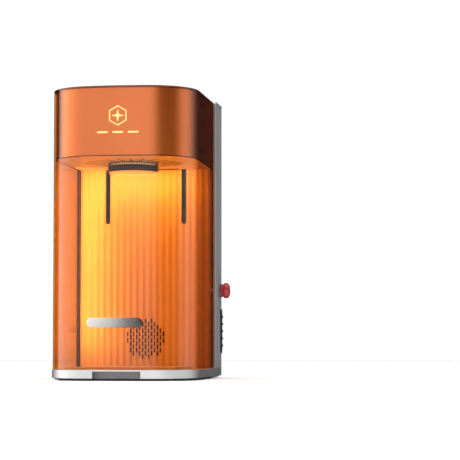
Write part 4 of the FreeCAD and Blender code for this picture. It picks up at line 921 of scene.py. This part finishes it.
PANELS = [  # azimuth in degrees, 0 towards the viewer and +90 to the right; radiance there
    (-180, 0.02), (-114, 0.02), (-109, 2.2), (-90, 2.15), (-79, 1.7), (-70, 1.4), (-52, 1.05),
    (-30, 1.03), (-10, 1.08), (5, 1.14), (12, 0.95), (23, 0.45), (32, 0.03), (66, 0.03), (74, 0.15),
    (82, 0.5), (92, 0.88), (103, 1.0), (115, 0.88), (126, 0.6), (139, 0.22), (149, 0.075),
    (156, 0.018), (180, 0.012),
]
LOW_PANELS = [  # the same ring below the horizon, where the pale floor carries on
    (-180, 0.02), (-125, 0.02), (-112, 0.9), (-60, 0.92), (-10, 0.85), (8, 1.2), (23, 2.1),
    (40, 1.8), (65, 1.6), (95, 0.6), (125, 0.25), (150, 0.06), (165, 0.03), (180, 0.02),
]
PANEL_PEAK = 2.2
CEILING = 1.7
BACKDROP = 1.05
HORIZON = (-0.035, -0.02)  # the rings meet between these heights of a direction
CEILING_EDGE = (0.75, 0.85)


def panel_ring(tree, place, panels):
    """A background whose radiance follows the azimuth."""
    ramp = tree.nodes.new("ShaderNodeValToRGB")
    tree.links.new(place, ramp.inputs["Fac"])
    elements = ramp.color_ramp.elements
    while len(elements) < len(panels):
        elements.new(0.5)
    for element, (azimuth, _) in zip(elements, panels):
        element.position = (azimuth + 180) / 360
    for element, (_, radiance) in zip(elements, panels):
        element.color = (*[radiance / PANEL_PEAK] * 3, 1)
    ring = tree.nodes.new("ShaderNodeBackground")
    ring.inputs["Strength"].default_value = PANEL_PEAK
    tree.links.new(ramp.outputs["Color"], ring.inputs["Color"])
    return ring.outputs[0]


def studio_world():
    """White to the camera; to everything else, a ring of soft panels with dark gaps between them."""
    world = bpy.data.worlds.new("studio")
    world.use_nodes = True
    bpy.context.scene.world = world
    tree = world.node_tree
    tree.nodes.clear()

    def node(kind, **settings):
        made = tree.nodes.new(kind)
        for name, value in settings.items():
            setattr(made, name, value)
        return made

    def plain(strength):
        made = node("ShaderNodeBackground")
        made.inputs["Color"].default_value = (1, 1, 1, 1)
        made.inputs["Strength"].default_value = strength
        return made.outputs[0]

    def mixed(share, first, second):
        made = node("ShaderNodeMixShader")
        for socket, value in zip(made.inputs, (share, first, second)):
            tree.links.new(value, socket)
        return made.outputs[0]

    def ranged(value, low, high):
        made = node("ShaderNodeMapRange")
        made.inputs["From Min"].default_value = low
        made.inputs["From Max"].default_value = high
        tree.links.new(value, made.inputs["Value"])
        return made.outputs["Result"]

    split = node("ShaderNodeSeparateXYZ")
    tree.links.new(node("ShaderNodeTexCoord").outputs["Generated"], split.inputs[0])
    flip = node("ShaderNodeMath", operation="MULTIPLY")
    flip.inputs[1].default_value = -1
    tree.links.new(split.outputs["Y"], flip.inputs[0])
    azimuth = node("ShaderNodeMath", operation="ARCTAN2")
    tree.links.new(split.outputs["X"], azimuth.inputs[0])
    tree.links.new(flip.outputs[0], azimuth.inputs[1])
    place = ranged(azimuth.outputs[0], -math.pi, math.pi)
    around = mixed(ranged(split.outputs["Z"], *HORIZON),
                   panel_ring(tree, place, LOW_PANELS), panel_ring(tree, place, PANELS))
    around = mixed(ranged(split.outputs["Z"], *CEILING_EDGE), around, plain(CEILING))
    seen = node("ShaderNodeLightPath").outputs["Is Camera Ray"]
    out = node("ShaderNodeOutputWorld")
    tree.links.new(mixed(seen, around, plain(BACKDROP)), out.inputs["Surface"])


FLOOR_HALF = 3.5


def studio_floor():
    """A plain white floor, a little textured, wide enough for every view."""
    mesh = bpy.data.meshes.new("studio_floor")
    corners = [(x * FLOOR_HALF, y * FLOOR_HALF, 0) for x, y in ((-1, -1), (1, -1), (1, 1), (-1, 1))]
    mesh.from_pydata(corners, [], [(0, 1, 2, 3)])
    floor = bpy.data.objects.new("studio_floor", mesh)
    bpy.context.scene.collection.objects.link(floor)
    f = Finish("floor_white")
    grain = f.noise(60, 3, 0.5)
    shade = f.blend(f.spread(grain, 0.3, 0.7), (0.90, 0.90, 0.90), (0.88, 0.88, 0.88))
    mesh.materials.append(f.surface(f.principled(Base_Color=shade, Roughness=0.7, Specular_IOR_Level=0.1)))
    floor.visible_glossy = False


def area_light(name, place, aim, size, power, colour=(1, 1, 1), spread=180):
    """A soft lamp aimed at a point, lighting surfaces but seen by neither the camera nor mirrors."""
    data = bpy.data.lights.new(name, "AREA")
    data.shape = "RECTANGLE"
    data.size, data.size_y = size
    data.energy = power
    data.color = colour
    data.spread = math.radians(spread)
    lamp = bpy.data.objects.new(name, data)
    bpy.context.scene.collection.objects.link(lamp)
    lamp.location = place
    lamp.rotation_mode = "QUATERNION"
    lamp.rotation_quaternion = (Vector(aim) - Vector(place)).to_track_quat("-Z", "Y")
    lamp.visible_camera = False
    lamp.visible_glossy = False
    return lamp


WARM = (1.0, 0.57, 0.17)


def lights():
    """A big soft box overhead, and the machine's own warm light: under the head's rear edge, and down
    the left of the wall."""
    area_light("top_softbox", (0.2, -0.6, 2.6), (0, 0, 0), (3.2, 3.2), 60)
    lamp = area_light("chamber_top", (0, WALL_Y - 0.048, HEAD_LOW - 0.003),
                      (0, WALL_Y, HEAD_LOW - 0.12), (0.17, 0.02), 0.28, WARM)
    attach(lamp, "head")
    area_light("chamber_side", (-0.113, WALL_Y - 0.062, 0.215), (-0.098, WALL_Y, 0.215),
               (0.012, 0.33), 0.225, WARM, 120)


CAMERA_PLACE = (0.6136, -3.18336, 0.0639)
CAMERA_YAW = math.radians(8.01)
CAMERA_PITCH = math.radians(3.46)
CAMERA_LENS = 145.32


def photo_camera():
    """The photograph's viewpoint, as fitted to its edges."""
    data = bpy.data.cameras.new("photo_camera")
    data.sensor_width = 36
    data.lens = CAMERA_LENS
    data.clip_end = 60
    camera = bpy.data.objects.new("photo_camera", data)
    bpy.context.scene.collection.objects.link(camera)
    camera.location = CAMERA_PLACE
    camera.rotation_euler = (math.pi / 2 + CAMERA_PITCH, 0, CAMERA_YAW)
    bpy.context.scene.camera = camera


studio_world()
studio_floor()
lights()
photo_camera()
bpy.context.scene.view_settings.view_transform = "Standard"
